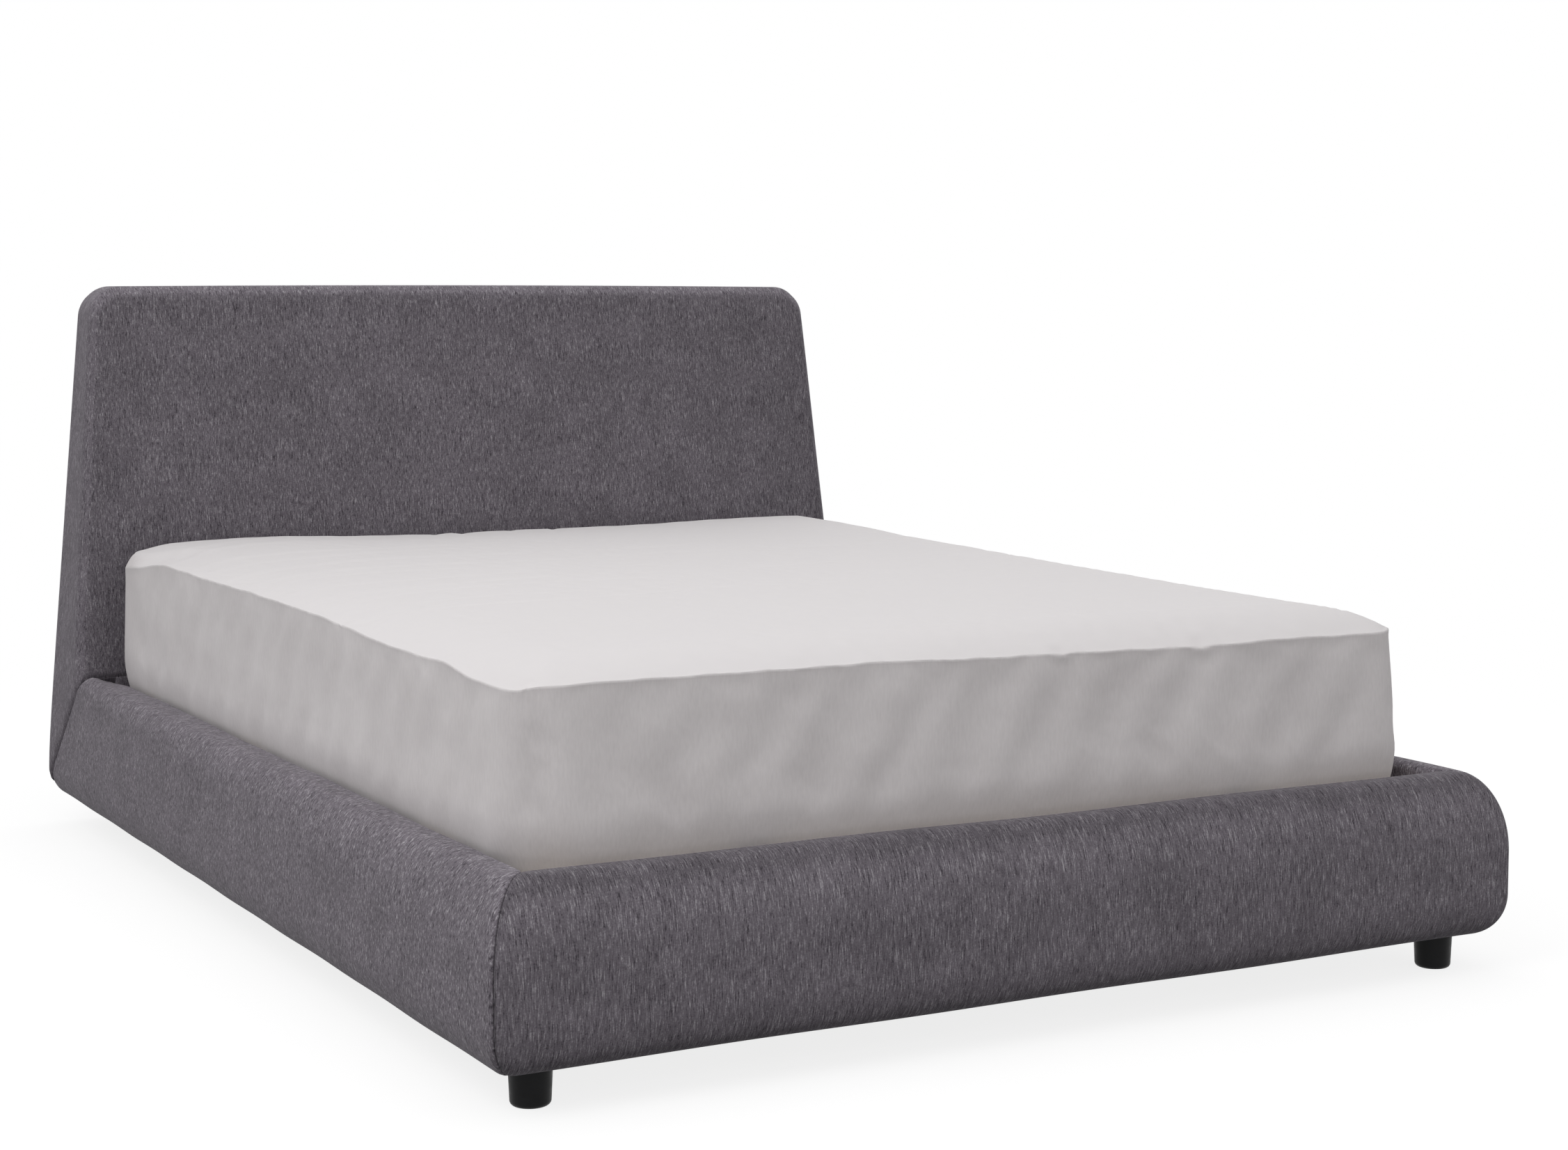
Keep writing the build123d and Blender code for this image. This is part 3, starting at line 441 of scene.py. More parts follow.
def resample(points, step=None, count=None):
    """The same line with a count of even points, or with points about a step apart."""
    points = np.array(points)
    runs = np.linalg.norm(np.diff(points, axis=0), axis=1)
    along = np.concatenate([[0.0], np.cumsum(runs)])
    even = np.linspace(0.0, along[-1], count or round(along[-1] / step) + 1)
    return np.stack([np.interp(even, along, points[:, k]) for k in range(points.shape[1])], 1)


def ease(value):
    """A share from 0 to 1 that starts and stops gently."""
    share = np.clip(value, 0.0, 1.0)
    return share * share * (3 - 2 * share)


def bell(value, width):
    """A hump of a width round 0, where it is 1."""
    return np.exp(-((value / width) ** 2))


def ripple(value, length, phase):
    """A wave of a length along a value, from -1 to 1."""
    return np.sin(2 * math.pi * value / length + phase)


def soft_waves(points, height, length):
    """A slow unevenness, about height either way."""
    x, y, z = np.moveaxis(points, -1, 0)
    waves = ripple(1.00 * x + 0.71 * y, length, 0.4) + ripple(0.63 * y - 1.13 * z, length, 1.7)
    waves += ripple(1.41 * z + 0.52 * x, length, -0.9) + ripple(1.87 * y + 0.83 * x, length, 2.6)
    return height * waves / 2.5


def grid_faces(grid, first):
    """Quads of a grid of points, row by row."""
    index = first + np.arange(grid[..., 0].size).reshape(grid.shape[:2])
    corners = (index[:-1, :-1], index[1:, :-1], index[1:, 1:], index[:-1, 1:])
    return np.stack([corner.ravel() for corner in corners], 1)


def mesh_object(name, grids, material, without=None):
    """A smooth object from grids of points, welded, less the faces that without picks."""
    points = np.concatenate([grid.reshape(-1, 3) for grid in grids])
    faces, first = [], 0
    for grid in grids:
        faces.append(grid_faces(grid, first))
        first += grid[..., 0].size
    mesh = bpy.data.meshes.new(name)
    mesh.from_pydata(points.tolist(), [], np.concatenate(faces).tolist())
    shape = bmesh.new()
    shape.from_mesh(mesh)
    bmesh.ops.remove_doubles(shape, verts=shape.verts, dist=WELD)
    bmesh.ops.dissolve_degenerate(shape, edges=shape.edges, dist=WELD)
    if without is not None:
        unwanted = [face for face in shape.faces if without(face.calc_center_median())]
        bmesh.ops.delete(shape, geom=unwanted, context="FACES")
    bmesh.ops.recalc_face_normals(shape, faces=shape.faces)
    shape.to_mesh(mesh)
    shape.free()
    mesh.shade_smooth()
    mesh.materials.append(material)
    piece = bpy.data.objects.new(name, mesh)
    scene.collection.objects.link(piece)
    return piece


def swept(x, line):
    """A grid of points: a line of (along, height) carried across x."""
    grid = np.empty((len(x), len(line), 3))
    grid[..., 0] = x[:, None]
    grid[..., 1:] = line
    return grid


def thicken(piece, thickness, offset):
    """Gives a cloth skin its thickness."""
    layer = piece.modifiers.new("thickness", "SOLIDIFY")
    layer.thickness = thickness
    layer.offset = offset
    layer.use_even_offset = False


def fasten(piece, body, slot, *replaced):
    """Lets a piece ride on a body, in place of its plain solids. slot is not used."""
    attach(piece, body)
    if replaced:
        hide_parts(*replaced)


def add_slack(piece, held):
    """A cloth layer with slack, held near its form by weights from 0 to 1."""
    group = piece.vertex_groups.new(name="held")
    for index, weight in enumerate(held):
        group.add([index], float(weight), "REPLACE")
    layer = piece.modifiers.new("slack", "CLOTH")
    layer.collision_settings.use_collision = False
    layer.point_cache.frame_end = CLOTH_FRAMES
    for key, value in CLOTH.items():
        setattr(layer.settings, key, value)
    layer.settings.vertex_group_mass = group.name
    layer.settings.effector_weights.gravity = 0.0
    return layer


def points_of(mesh):
    """A mesh's points as an array."""
    return np.array([vertex.co for vertex in mesh.vertices])


def settle(piece, held):
    """Lets a skin buckle as slack cloth does, up to a reach."""
    layer = add_slack(piece, held)
    for number in range(1, CLOTH_FRAMES + 1):
        scene.frame_set(number)
    before = points_of(piece.data)
    moved = points_of(piece.evaluated_get(bpy.context.evaluated_depsgraph_get()).data) - before
    piece.modifiers.remove(layer)
    piece.vertex_groups.clear()
    scene.frame_set(1)
    far = np.maximum(np.linalg.norm(moved, axis=1, keepdims=True), 1e-9)
    settled = before + moved / far * CLOTH_REACH * np.tanh(far / CLOTH_REACH)
    piece.data.vertices.foreach_set("co", settled.ravel())
    piece.data.update()


# Padded rails and footboard

def rail_line(lean, turn, reach):
    """A padded rail's profile with a shoulder, as (depth, height)."""
    inner = RAIL_DEPTH
    lip = (inner - LIP_RADIUS, RAIL_TOP - LIP_RADIUS)
    low_lip = (inner - LOW_LIP_RADIUS, RAIL_BOTTOM + LOW_LIP_RADIUS)
    bends = (
        [(inner, TURN_IN_HIGH)],
        arc(lip, (LIP_RADIUS, LIP_RADIUS), 0, 90),
        arc((lean + reach, turn), (reach, RAIL_TOP - turn), 90, 180),
        arc(BELLY, (BELLY[0], BELLY[1] - RAIL_BOTTOM), 180, 270),
        arc(low_lip, (LOW_LIP_RADIUS, LOW_LIP_RADIUS), -90, 0),
        [(inner, TURN_IN_LOW)],
    )
    pieces = []
    for before, after in zip(bends, bends[1:]):
        pieces += [[before[-1], after[0]], after]
    lines = [resample(piece, count=count + 1)[:-1] for piece, count in zip(pieces, PROFILE_COUNTS)]
    return np.concatenate(lines + [bends[-1]])


def crested(line):
    """A rail's profile with a raised crest and its inner edge pressed down."""
    depth, height = line.T
    crest = CREST_RISE * bell(depth - CREST_DEPTH, CREST_WIDTH)
    pressed = CREST_DROP * ease((depth - CREST_DEPTH) / (RAIL_DEPTH - CREST_DEPTH))
    near_top = ease((height - TURN_IN_HIGH) / (RAIL_TOP - TURN_IN_HIGH))
    return np.stack([depth, height + near_top * (crest - pressed)], 1)


FOOT_LINE = rail_line(*FOOT_SHOULDER)
HEAD_LINE = rail_line(*HEAD_SHOULDER)
END_LINE = crested(HEAD_LINE)


def firming_profile(along):
    """A side rail's profile along the bed, firmer towards the head."""
    share = np.clip((along + HALF_LENGTH - FULL_LENGTH) / (2 * HALF_LENGTH - FULL_LENGTH), 0, 1)[:, None]
    end = ease((along - FRONT_AT_RAIL_TOP + CREST_LENGTH) / CREST_LENGTH)[:, None]
    return FOOT_LINE + share * (HEAD_LINE - FOOT_LINE) + end * (END_LINE - HEAD_LINE)


def line_normals(line):
    """Outward normals along a profile."""
    tangent = np.gradient(line, axis=0)
    tangent /= np.linalg.norm(tangent, axis=1, keepdims=True)
    return np.stack([tangent[:, 1], -tangent[:, 0]], 1)


def quarter_round(distance, radius):
    """How far a rounded edge is drawn in near its end."""
    reach = np.clip(radius - distance, 0.0, radius)
    return radius - np.sqrt(radius**2 - reach**2)


def mitre_round(distance, radius):
    """How far a rounded corner is drawn in near its mitre."""
    near = np.minimum(distance, radius)
    return radius - (near + np.sqrt(2 * radius**2 - near**2)) / 2


def mitre_inset(distance, line, normal):
    """Drawing-in at a mitred corner: its soft arris and its sewn seam."""
    sideways = np.abs(normal[:, 0])
    return sideways * mitre_round(distance, CORNER_ROUND) + quarter_round(distance, SEAM_ROUND)


def cheek_inset(distance, line, normal):
    """Drawing-in where a side rail meets the headboard, most on top."""
    upward = np.clip(normal[:, 1], 0, 1)
    over_board = ease((line[:, 0] - BOARD_DEPTH[0]) / (BOARD_DEPTH[1] - BOARD_DEPTH[0]))
    top = CHEEK_TOP_ROUND + (BOARD_TOP_ROUND - CHEEK_TOP_ROUND) * over_board
    return quarter_round(distance, CHEEK_END_ROUND + (top - CHEEK_END_ROUND) * upward)


def cheek_plane(depth, height):
    """Where a side rail ends against the headboard."""
    return np.minimum(HALF_LENGTH, HALF_LENGTH - CHEEK_SLOPE * (height - HEAD_BOTTOM))


def padded_rail(name, profile, start, end, place, material):
    """A padded rail between two ends: each a plane, a drawing-in, a turned-in width."""

    def column(along, line, drawn):
        """One column of points with their normals, drawn in by an amount."""
        normal = line_normals(line)
        return along, line[:, 0] - normal[:, 0] * drawn, line[:, 1] - normal[:, 1] * drawn, *normal.T

    def end_columns(plane, inset, turn_in, sign):
        """Columns from a sewn-in edge out to where the rounding ends."""
        line = FOOT_LINE
        for _ in range(4):
            line = profile(plane(*line.T))
        normal = line_normals(line)
        found = []
        for share, turned in [(0.0, turn_in)] + [(share, 0.0) for share in END_SHARES]:
            distance = share * END_ZONE
            _, depth, height, across, up = column(None, line, inset(distance, line, normal) + turned)
            found.append((plane(depth, height) + sign * (distance + SEAM_GAP), depth, height, across, up))
        return found

    first = end_columns(*start, 1)
    last = end_columns(*end, -1)
    between = []
    for share in np.linspace(0.0, 1.0, round(2 * HALF_LENGTH / LENGTH_STEP))[1:-1]:
        along = first[-1][0] + share * (last[-1][0] - first[-1][0])
        between.append(column(along, profile(along), 0.0))
    along, depth, height, across, up = (np.stack(rows, 1) for rows in zip(*first, *between, *last[::-1]))
    grid = np.stack(place(along, depth, height), -1)
    outward = np.stack(place(along, depth + across, height + up), -1) - grid
    grid += outward * (soft_waves(grid, WAVE_HEIGHT, 0.55) - WAVE_HEIGHT)[..., None]
    return mesh_object(name, [grid], material)


def upholster(cover, *replaced):
    """Fixes a padded cover to the frame."""
    thicken(cover, CLOTH_THICKNESS, -1)
    fasten(cover, "bed_frame", "cover_cloth", *replaced)


def make_rails():
    """Both side rails and the footboard between them."""
    cloth = cover_cloth("cover_cloth_rails", "Y", (0.0024, 0.007), 1.13, 1.13)
    for side, name in ((-1, "left"), (1, "right")):
        rail = padded_rail(
            f"{name}_rail_upholstery",
            firming_profile,
            (lambda depth, height: depth - HALF_LENGTH, mitre_inset, SEAM_ALLOWANCE),
            (cheek_plane, cheek_inset, CHEEK_TURN_IN),
            lambda along, depth, height, side=side: (side * (RAIL_HALF_SPAN - depth), along, height),
            cloth,
        )
        upholster(rail, f"{name}_rail_cover", f"{name}_rail_foam")
    footboard = padded_rail(
        "footboard_upholstery",
        lambda along: FOOT_LINE,
        (lambda depth, height: depth - RAIL_HALF_SPAN, mitre_inset, SEAM_ALLOWANCE),
        (lambda depth, height: RAIL_HALF_SPAN - depth, mitre_inset, SEAM_ALLOWANCE),
        lambda along, depth, height: (along, depth - HALF_LENGTH, height),
        # Painted light and shade: the footboard's front lighter, its top and ends darker.
        cover_cloth("cover_cloth_footboard", "X", (0.0012, 0.015), 1.13, 0.77),
    )
    upholster(footboard, "footboard_cover", "footboard_foam")


# Headboard

def front_at(height):
    """The headboard's front face at a height."""
    return FRONT_AT_RAIL_TOP + FRONT_LEAN * (height - RAIL_TOP)


def back_at(height):
    """The headboard's back face at a height."""
    return HALF_LENGTH - BACK_LEAN * (height - HEAD_BOTTOM)


def head_half_at(height):
    """Half the headboard's width at a height."""
    share = (height - HEAD_BOTTOM) / (HEAD_TOP - HEAD_BOTTOM)
    return HEAD_HALF_BOTTOM + share * (HEAD_HALF_TOP - HEAD_HALF_BOTTOM)


def cheek_height(fraction):
    """Height of the cheek's slanted edge, by share of the way back."""
    height = np.full_like(fraction, RAIL_TOP)
    for _ in range(8):
        along = front_at(height) + fraction * (back_at(height) - front_at(height))
        height = HEAD_BOTTOM + (HALF_LENGTH - along) / CHEEK_SLOPE
    return height


def disc_share(a, b):
    """How far a point of a square corner moves in to make it round."""
    return np.maximum(a, b) / np.maximum(np.hypot(a, b), 1e-9)


def round_corners(a, b, end_a, end_b, radius):
    """Distances from the middle with their corner rounded, how far in they are, the way out."""
    across, along = a - (end_a - radius), b - (end_b - radius)
    corner = (across > 0) & (along > 0)
    share = np.where(corner, disc_share(across, along), 1.0)
    across, along = across * share, along * share
    reach = np.maximum(np.hypot(across, along), 1e-9)
    to_a, to_b = end_a - a, end_b - b
    moved = np.where(corner, end_a - radius + across, a), np.where(corner, end_b - radius + along, b)
    inside = np.where(corner, radius - reach, np.minimum(to_a, to_b))
    out = np.where(corner, across / reach, to_a < to_b), np.where(corner, along / reach, to_a >= to_b)
    return moved, inside, out


def round_headboard(points):
    """The sharp wedge's points with its corners and edges rounded."""
    x, y, height = np.moveaxis(points, -1, 0)
    half, side = head_half_at(height), np.sign(x)
    moved, inside, out = round_corners(np.abs(x), height, half, HEAD_TOP, TOP_CORNER_RADIUS)
    across, z = moved
    for radius, depth, way in (
        (FRONT_ROUND, y - front_at(height), 1),
        (BACK_ROUND, back_at(height) - y, -1),
    ):
        near_side = np.maximum(1 - inside / radius, 0)
        near_face = np.maximum(1 - depth / radius, 0)
        edge = (near_side > 0) & (near_face > 0)
        left_over = np.where(edge, radius * (1 - disc_share(near_side, near_face)), 0.0)
        across = across - out[0] * left_over * near_side
        z = z - out[1] * left_over * near_side
        y = y + way * left_over * near_face
    return np.stack([side * across, y, z], -1)


def stations(low, high, step, fine_low, fine_high, fine):
    """Places from low to high, finer at the rounded ends."""
    starts = np.arange(0, fine_low - fine / 2, fine)
    ends = np.arange(0, fine_high - fine / 2, fine)[::-1]
    span = (low + fine_low, high - fine_high)
    even = np.linspace(*span, round((span[1] - span[0]) / step) + 1)
    return np.concatenate([low + starts, even, high - ends])


def wedge(shares, fractions, heights):
    """Points of the sharp wedge by share of its half width, of its depth, and height."""
    front, back = front_at(heights), back_at(heights)
    return np.stack([shares * head_half_at(heights), front + fractions * (back - front), heights], -1)


def headboard_grids():
    """The cover's front, back, top and cheeks on the sharp wedge."""
    shares = stations(-1.0, 1.0, HEAD_STEP / HEAD_HALF_TOP, 0.10, 0.10, 0.006)
    fractions = np.linspace(0.0, 1.0, 40)
    rise = stations(0.0, 1.0, HEAD_STEP / (HEAD_TOP - RAIL_TOP), 0.0, 0.10, 0.0065)

    across, up = np.meshgrid(shares, rise, indexing="ij")
    grids = [
        wedge(across, 0 * across, RAIL_TOP + up * (HEAD_TOP - RAIL_TOP)),
        wedge(across, 0 * across + 1, HEAD_BOTTOM + up * (HEAD_TOP - HEAD_BOTTOM)),
    ]
    across, deep = np.meshgrid(shares, fractions, indexing="ij")
    grids.append(wedge(across, deep, np.full_like(across, HEAD_TOP)))
    deep, up = np.meshgrid(fractions, rise, indexing="ij")
    low = cheek_height(deep)
    deep_under, inward = np.meshgrid(fractions, np.linspace(0.0, 1.0, 14), indexing="ij")
    low_under = cheek_height(deep_under)
    inner_share = CHEEK_INNER / head_half_at(low_under)
    for side in (-1, 1):
        grids.append(wedge(side + 0 * deep, deep, low + up * (HEAD_TOP - low)))
        grids.append(wedge(side * (1 + inward * (inner_share - 1)), deep_under, low_under))
    return grids


def tuck_cheeks(points):
    """Draws the cheeks in along their lower edge, level with the rails' ends."""
    x, y, z = np.moveaxis(points, -1, 0)
    above = (y - HALF_LENGTH + CHEEK_SLOPE * (z - HEAD_BOTTOM)) / math.hypot(1, CHEEK_SLOPE)
    above = np.clip(above, 0, None)
    seam = CHEEK_FLUSH * np.exp(-above / CHEEK_FLUSH_REACH) + quarter_round(above, CHEEK_SEAM_ROUND)
    low = np.clip((CHEEK_TUCK_TOP - z) / (CHEEK_TUCK_TOP - HEAD_BOTTOM), 0, 1)
    foot = CHEEK_TUCK * (1 - np.sqrt(1 - low**2))
    drawn = np.cbrt(seam**3 + foot**3)
    near = np.clip(1 - (head_half_at(z) - np.abs(x)) / CHEEK_SOFT_WIDTH, 0, 1)
    return np.stack([x - np.sign(x) * drawn * near, y, z], -1)


def swell(points):
    """Crowns the wedge's top and front a little, unevenly."""
    x, y, z = np.moveaxis(points, -1, 0)
    level = 1 - (x / HEAD_HALF_BOTTOM) ** 2
    rise = np.clip((z - RAIL_TOP) / (HEAD_TOP - RAIL_TOP), 0, 1)
    front = np.clip(1 - (y - front_at(z)) / FRONT_FOAM, 0, 1)
    out = FRONT_SWELL * np.sin(math.pi * rise) * level - soft_waves(points, WAVE_HEIGHT, 0.6)
    return np.stack([x, y - out * front, z + TOP_CROWN * level * rise**3], -1)


def in_back_opening(point):
    """Whether a point of the back lies well inside the lining's opening."""
    if point.y < back_at(point.z) - CLOTH_THICKNESS * 2:
        return False
    beside = head_half_at(point.z) - LINING_MARGIN - COVER_UNDER_LINING
    low, high = LINING_BOTTOM + COVER_UNDER_LINING, LINING_TOP - COVER_UNDER_LINING
    return abs(point.x) < beside and low < point.z < high


def front_skirt():
    """The cover's front carried down between the rails."""
    top = RAIL_TOP + SKIRT_LAP
    corners = [
        (front_at(top) + SKIRT_TUCK, top),
        (SKIRT_FRONT, RAIL_TOP),
        (SKIRT_FRONT, SKIRT_BOTTOM),
        (SKIRT_FRONT + SKIRT_UNDER, SKIRT_BOTTOM),
    ]
    skirt = swept(np.linspace(-SKIRT_HALF, SKIRT_HALF, SKIRT_COUNT), resample(corners, PROFILE_STEP))
    turned = skirt[[0, -1]] + (0.0, SKIRT_TURN, 0.0)
    return np.concatenate([turned[:1], skirt, turned[1:]])


def back_hem():
    """The cover's lower edge behind, turned under."""
    back = back_at(HEM_BOTTOM) + CLOTH_THICKNESS / 2
    corners = [(back, HEM_TOP), (back, HEM_BOTTOM), (back - SKIRT_TURN, HEM_BOTTOM)]
    return swept(np.linspace(-HEM_HALF, HEM_HALF, SKIRT_COUNT), resample(corners, PROFILE_STEP))


def make_headboard():
    """The padded headboard cover, open behind."""
    grids = [swell(tuck_cheeks(round_headboard(grid))) for grid in headboard_grids()]
    grids += [front_skirt(), back_hem()]
    # Painted shade: the headboard's front darker than its top and cheeks.
    cloth = cover_cloth("cover_cloth_headboard", "XY", (0.0013, 0.010), 0.83, 1.07)
    cover = mesh_object("headboard_upholstery", grids, cloth, in_back_opening)
    foams = ("front_foam", "top_foam", "left_cheek_foam", "right_cheek_foam")
    upholster(cover, "headboard_cover", *[f"headboard_{foam}" for foam in foams])


def staples(name, places, material):
    """Wire staples as one piece, each at a place with its ways along and out."""
    bend = [(-1.0, -1.0), (-1.0, 0.7), (-0.9, 1.0), (0.9, 1.0), (1.0, 0.7), (1.0, -1.0)]
    ring = [(-1, -1), (1, -1), (1, 1), (-1, 1), (-1, -1)]
    grids = []
    for place, along, out in places:
        place, along, out = (np.array(value, float) for value in (place, along, out))
        across = np.cross(along, out)
        spine = [place + along * STAPLE_HALF * a + out * STAPLE_WIRE * b for a, b in bend]
        around = [(across * a + out * b) * STAPLE_WIRE / 2 for a, b in ring]
        grids.append(np.array([[point + offset for offset in around] for point in spine]))
    piece = mesh_object(name, grids, material)
    fasten(piece, "bed_frame", "zinc_steel")
    return piece


def make_lining(zinc):
    """The black lining over the headboard's back, stapled round its edge."""
    low, high = LINING_BOTTOM - LINING_LAP, LINING_TOP + LINING_LAP

    def half_at(height):
        return head_half_at(height) - LINING_MARGIN + LINING_LAP

    def at(share, height, out):
        return np.stack([share * half_at(height), back_at(height) + out, height], -1)

    share, rise = np.meshgrid(np.linspace(-1, 1, 150), np.linspace(0, 1, 90), indexing="ij")
    height = low + rise * (high - low)
    edge_x = (1 - np.abs(share)) * head_half_at(height)
    edge_z = np.minimum(rise, 1 - rise) * (high - low)
    hollow = np.sin(math.pi * rise) * np.cos(math.pi * share / 2)
    pucker = ripple(height, STAPLE_PITCH, 0.0) * np.exp(-edge_x / PUCKER_REACH)
    pucker += ripple(share * HEAD_HALF_BOTTOM, STAPLE_PITCH, 0.0) * np.exp(-edge_z / PUCKER_REACH)
    folds = ripple(share * 0.9 + 0.35 * rise, 0.31, 0.6) * hollow
    out = LINING_OUT - LINING_HOLLOW * hollow + PUCKER_HEIGHT * pucker + LINING_FOLD * folds
    cloth = mesh_object("headboard_lining", [at(share, height, out)], lining_cloth())
    thicken(cloth, LINING_THICKNESS, 0)
    fasten(cloth, "bed_frame", "lining", "headboard_back_lining")
    places = []
    for level in np.arange(low + STAPLE_PITCH / 2, high, STAPLE_PITCH):
        for side in (-1, 1):
            places.append((at(side * STAPLE_SHARE, level, STAPLE_OUT), (0, 0, 1), (0, 1, 0)))
    for level in (low + STAPLE_HALF, high - STAPLE_HALF):
        half = half_at(level) - LINING_LAP
        for x in np.arange(-half + STAPLE_PITCH / 2, half, STAPLE_PITCH):
            places.append(((x, back_at(level) + STAPLE_OUT, level), (1, 0, 0), (0, 1, 0)))
    pins = staples("lining_staples", places, zinc)


# Mattress and fitted sheet

def crease_heights(x, y):
    """The crease's heights at the left, right, front and back."""
    left = 0.536 + 0.010 * ease((y + 0.88) / 0.12) + 0.013 * ease((y + 0.60) / 0.50)
    left -= 0.028 * ease((y - 0.62) / 0.33)
    front = 0.5435 - 0.0125 * ease((x + 0.40) / 0.80)
    return left, 0.532, front, 0.534


def back_lift(across):
    """How far the top stands up along its back edge."""
    lift = 0.003 + 0.0095 * bell(across + 0.66, 0.25)
    lift += 0.0055 * bell(across - 0.85, 0.25)
    return lift - 0.012 * (1 - ease((across + 1) / 0.13))


class MattressForm:
    """The mattress's soft outline, drawn in by an inset, as grids of points."""

    def __init__(self, inset):
        self.inset = inset
        self.half = np.array([MATTRESS_HALF, (sheet_high.y - sheet_low.y) / 2]) - inset
        self.bottom = sheet_low.z + inset
        self.middle = np.array([MATTRESS_SHIFT, (sheet_low.y + sheet_high.y) / 2])

    def places(self, half):
        """Stations across a half width or length, closer at the crease."""
        edge = np.array(CREASE_STEPS)
        even = np.linspace(edge[-1] - half, half - edge[-1], round(2 * (half - edge[-1]) / SHEET_STEP) + 1)
        return np.concatenate([edge[:-1] - half, even, half - edge[-2::-1]])

    def corner_radius(self, x, y, fall):
        """The corners' radius: lower down, more at the left and less at the right."""
        low = np.where(x < 0, MATTRESS_LOW_LEFT_CORNER, MATTRESS_LOW_RIGHT_CORNER)
        front = MATTRESS_CORNER + fall * (low - MATTRESS_CORNER)
        return np.where(y < 0, front, MATTRESS_BACK_CORNER) - self.inset

    def rounded(self, x, y, half, radius):
        """Plan points with rounded corners, how far in they are, and the way out."""
        moved, inside, out = round_corners(np.abs(x), np.abs(y), *half, radius)
        signs = np.stack([np.sign(x), np.sign(y)], -1)
        return signs * np.stack(moved, -1), inside, signs * np.stack(out, -1)

    def crease(self, plan):
        """Height of the crease, carried in from the edges."""
        x, y = np.moveaxis(plan, -1, 0)
        reach = (self.half[0] + x, self.half[0] - x, self.half[1] + y, self.half[1] - y)
        weights = [1 / np.maximum(distance, 1e-4) ** 2 for distance in reach]
        heights = crease_heights(x + self.middle[0], y + self.middle[1])
        return sum(weight * height for weight, height in zip(weights, heights)) / sum(weights) - self.inset

    def top(self):
        """The pillow top inside the crease."""
        x, y = self.square()
        plan, inside, _ = self.rounded(x, y, self.half, self.corner_radius(x, y, 0.0))
        across, along = plan[..., 0] / self.half[0], plan[..., 1] / self.half[1]
        to_right = ease(0.5 + 0.6 * across)
        full_left, full_right = ease((along - 0.76) / 0.18), ease((along + 0.8) / 1.65)
        full = full_left + to_right * (full_right - full_left)
        short = np.clip(1 - inside / (PILLOW_FRONT + (PILLOW_BACK - PILLOW_FRONT) * full), 0, 1)
        crown = MATTRESS_CROWN * (1 - across**2) * (1 - full)
        hump = ease((along - 0.4) / 0.5) * back_lift(across)
        crease = self.crease(plan)
        rise = MATTRESS_SHOULDER - self.inset - crease
        height = crease + rise * (1 - short**2) + (crown + hump) * (1 - short)
        return np.concatenate([plan + self.middle, height[..., None]], -1), inside

    def square(self):
        """Plan points, as x and y, before the corners are rounded."""
        return np.meshgrid(self.places(self.half[0]), self.places(self.half[1]), indexing="ij")

    def around(self, offset, fall):
        """The outline from the front left corner, moved out by an offset, and its way out."""
        plan = np.stack(self.square(), -1)
        edges = (plan[:-1, 0], plan[-1, :-1], plan[:0:-1, -1], plan[0, ::-1])
        x, y = np.concatenate(edges).T
        half = self.half + offset
        radius = np.maximum(self.corner_radius(x, y, fall) + offset, 0.008)
        plan, _, out = self.rounded(x * half[0] / self.half[0], y * half[1] / self.half[1], half, radius)
        return plan, out

    def flare(self, fall):
        """How far the sides stand out at a share of the way down."""
        rolled = np.clip((fall - MATTRESS_ROLL_START) / (1 - MATTRESS_ROLL_START), 0, 1)
        return MATTRESS_FLARE * fall**1.5 - MATTRESS_ROLL_IN * rolled**2

    def sides(self, tuck):
        """The sides from the crease down, round the low edge and in underneath."""
        low = self.bottom + MATTRESS_LOW_EDGE
        drop = MATTRESS_CREASE - low
        edge = np.array(CREASE_STEPS[:5])
        lower = np.linspace(edge[-1], drop, round((drop - edge[-1]) / SHEET_STEP) + 1)[1:]
        downs = np.concatenate([edge, lower])
        rim = self.crease(self.around(0.0, 0.0)[0])
        rows = [(self.flare(fall), fall, low + (1 - fall) * (rim - low)) for fall in downs / drop]
        for angle in np.radians((22, 45, 67, 90)):
            offset = self.flare(1.0) - MATTRESS_LOW_EDGE * (1 - math.cos(angle))
            rows.append((offset, 1.0, np.full_like(rim, low - MATTRESS_LOW_EDGE * math.sin(angle))))
        for reach in np.linspace(0, tuck, round(tuck / SHEET_STEP) + 1)[1:]:
            rows.append((self.flare(1.0) - MATTRESS_LOW_EDGE - reach, 1.0, np.full_like(rim, self.bottom)))
        plans = [self.around(offset, fall)[0] + self.middle for offset, fall, _ in rows]
        return np.stack([np.column_stack([plan, row[2]]) for plan, row in zip(plans, rows)])


def crease_wander(points, away):
    """How far the sheet's crease strays from a straight line, fading away from it."""
    x, y, _ = np.moveaxis(points, -1, 0)
    slow = 0.0008 * ripple(x + 0.8 * y, 0.37, 0.4) + 0.0004 * ripple(x - 1.3 * y, 0.231, 1.9)
    return bell(away, CREASE_REACH) * (slow + 0.0004 * ripple(x + 0.7 * y, 0.087, 0.7))


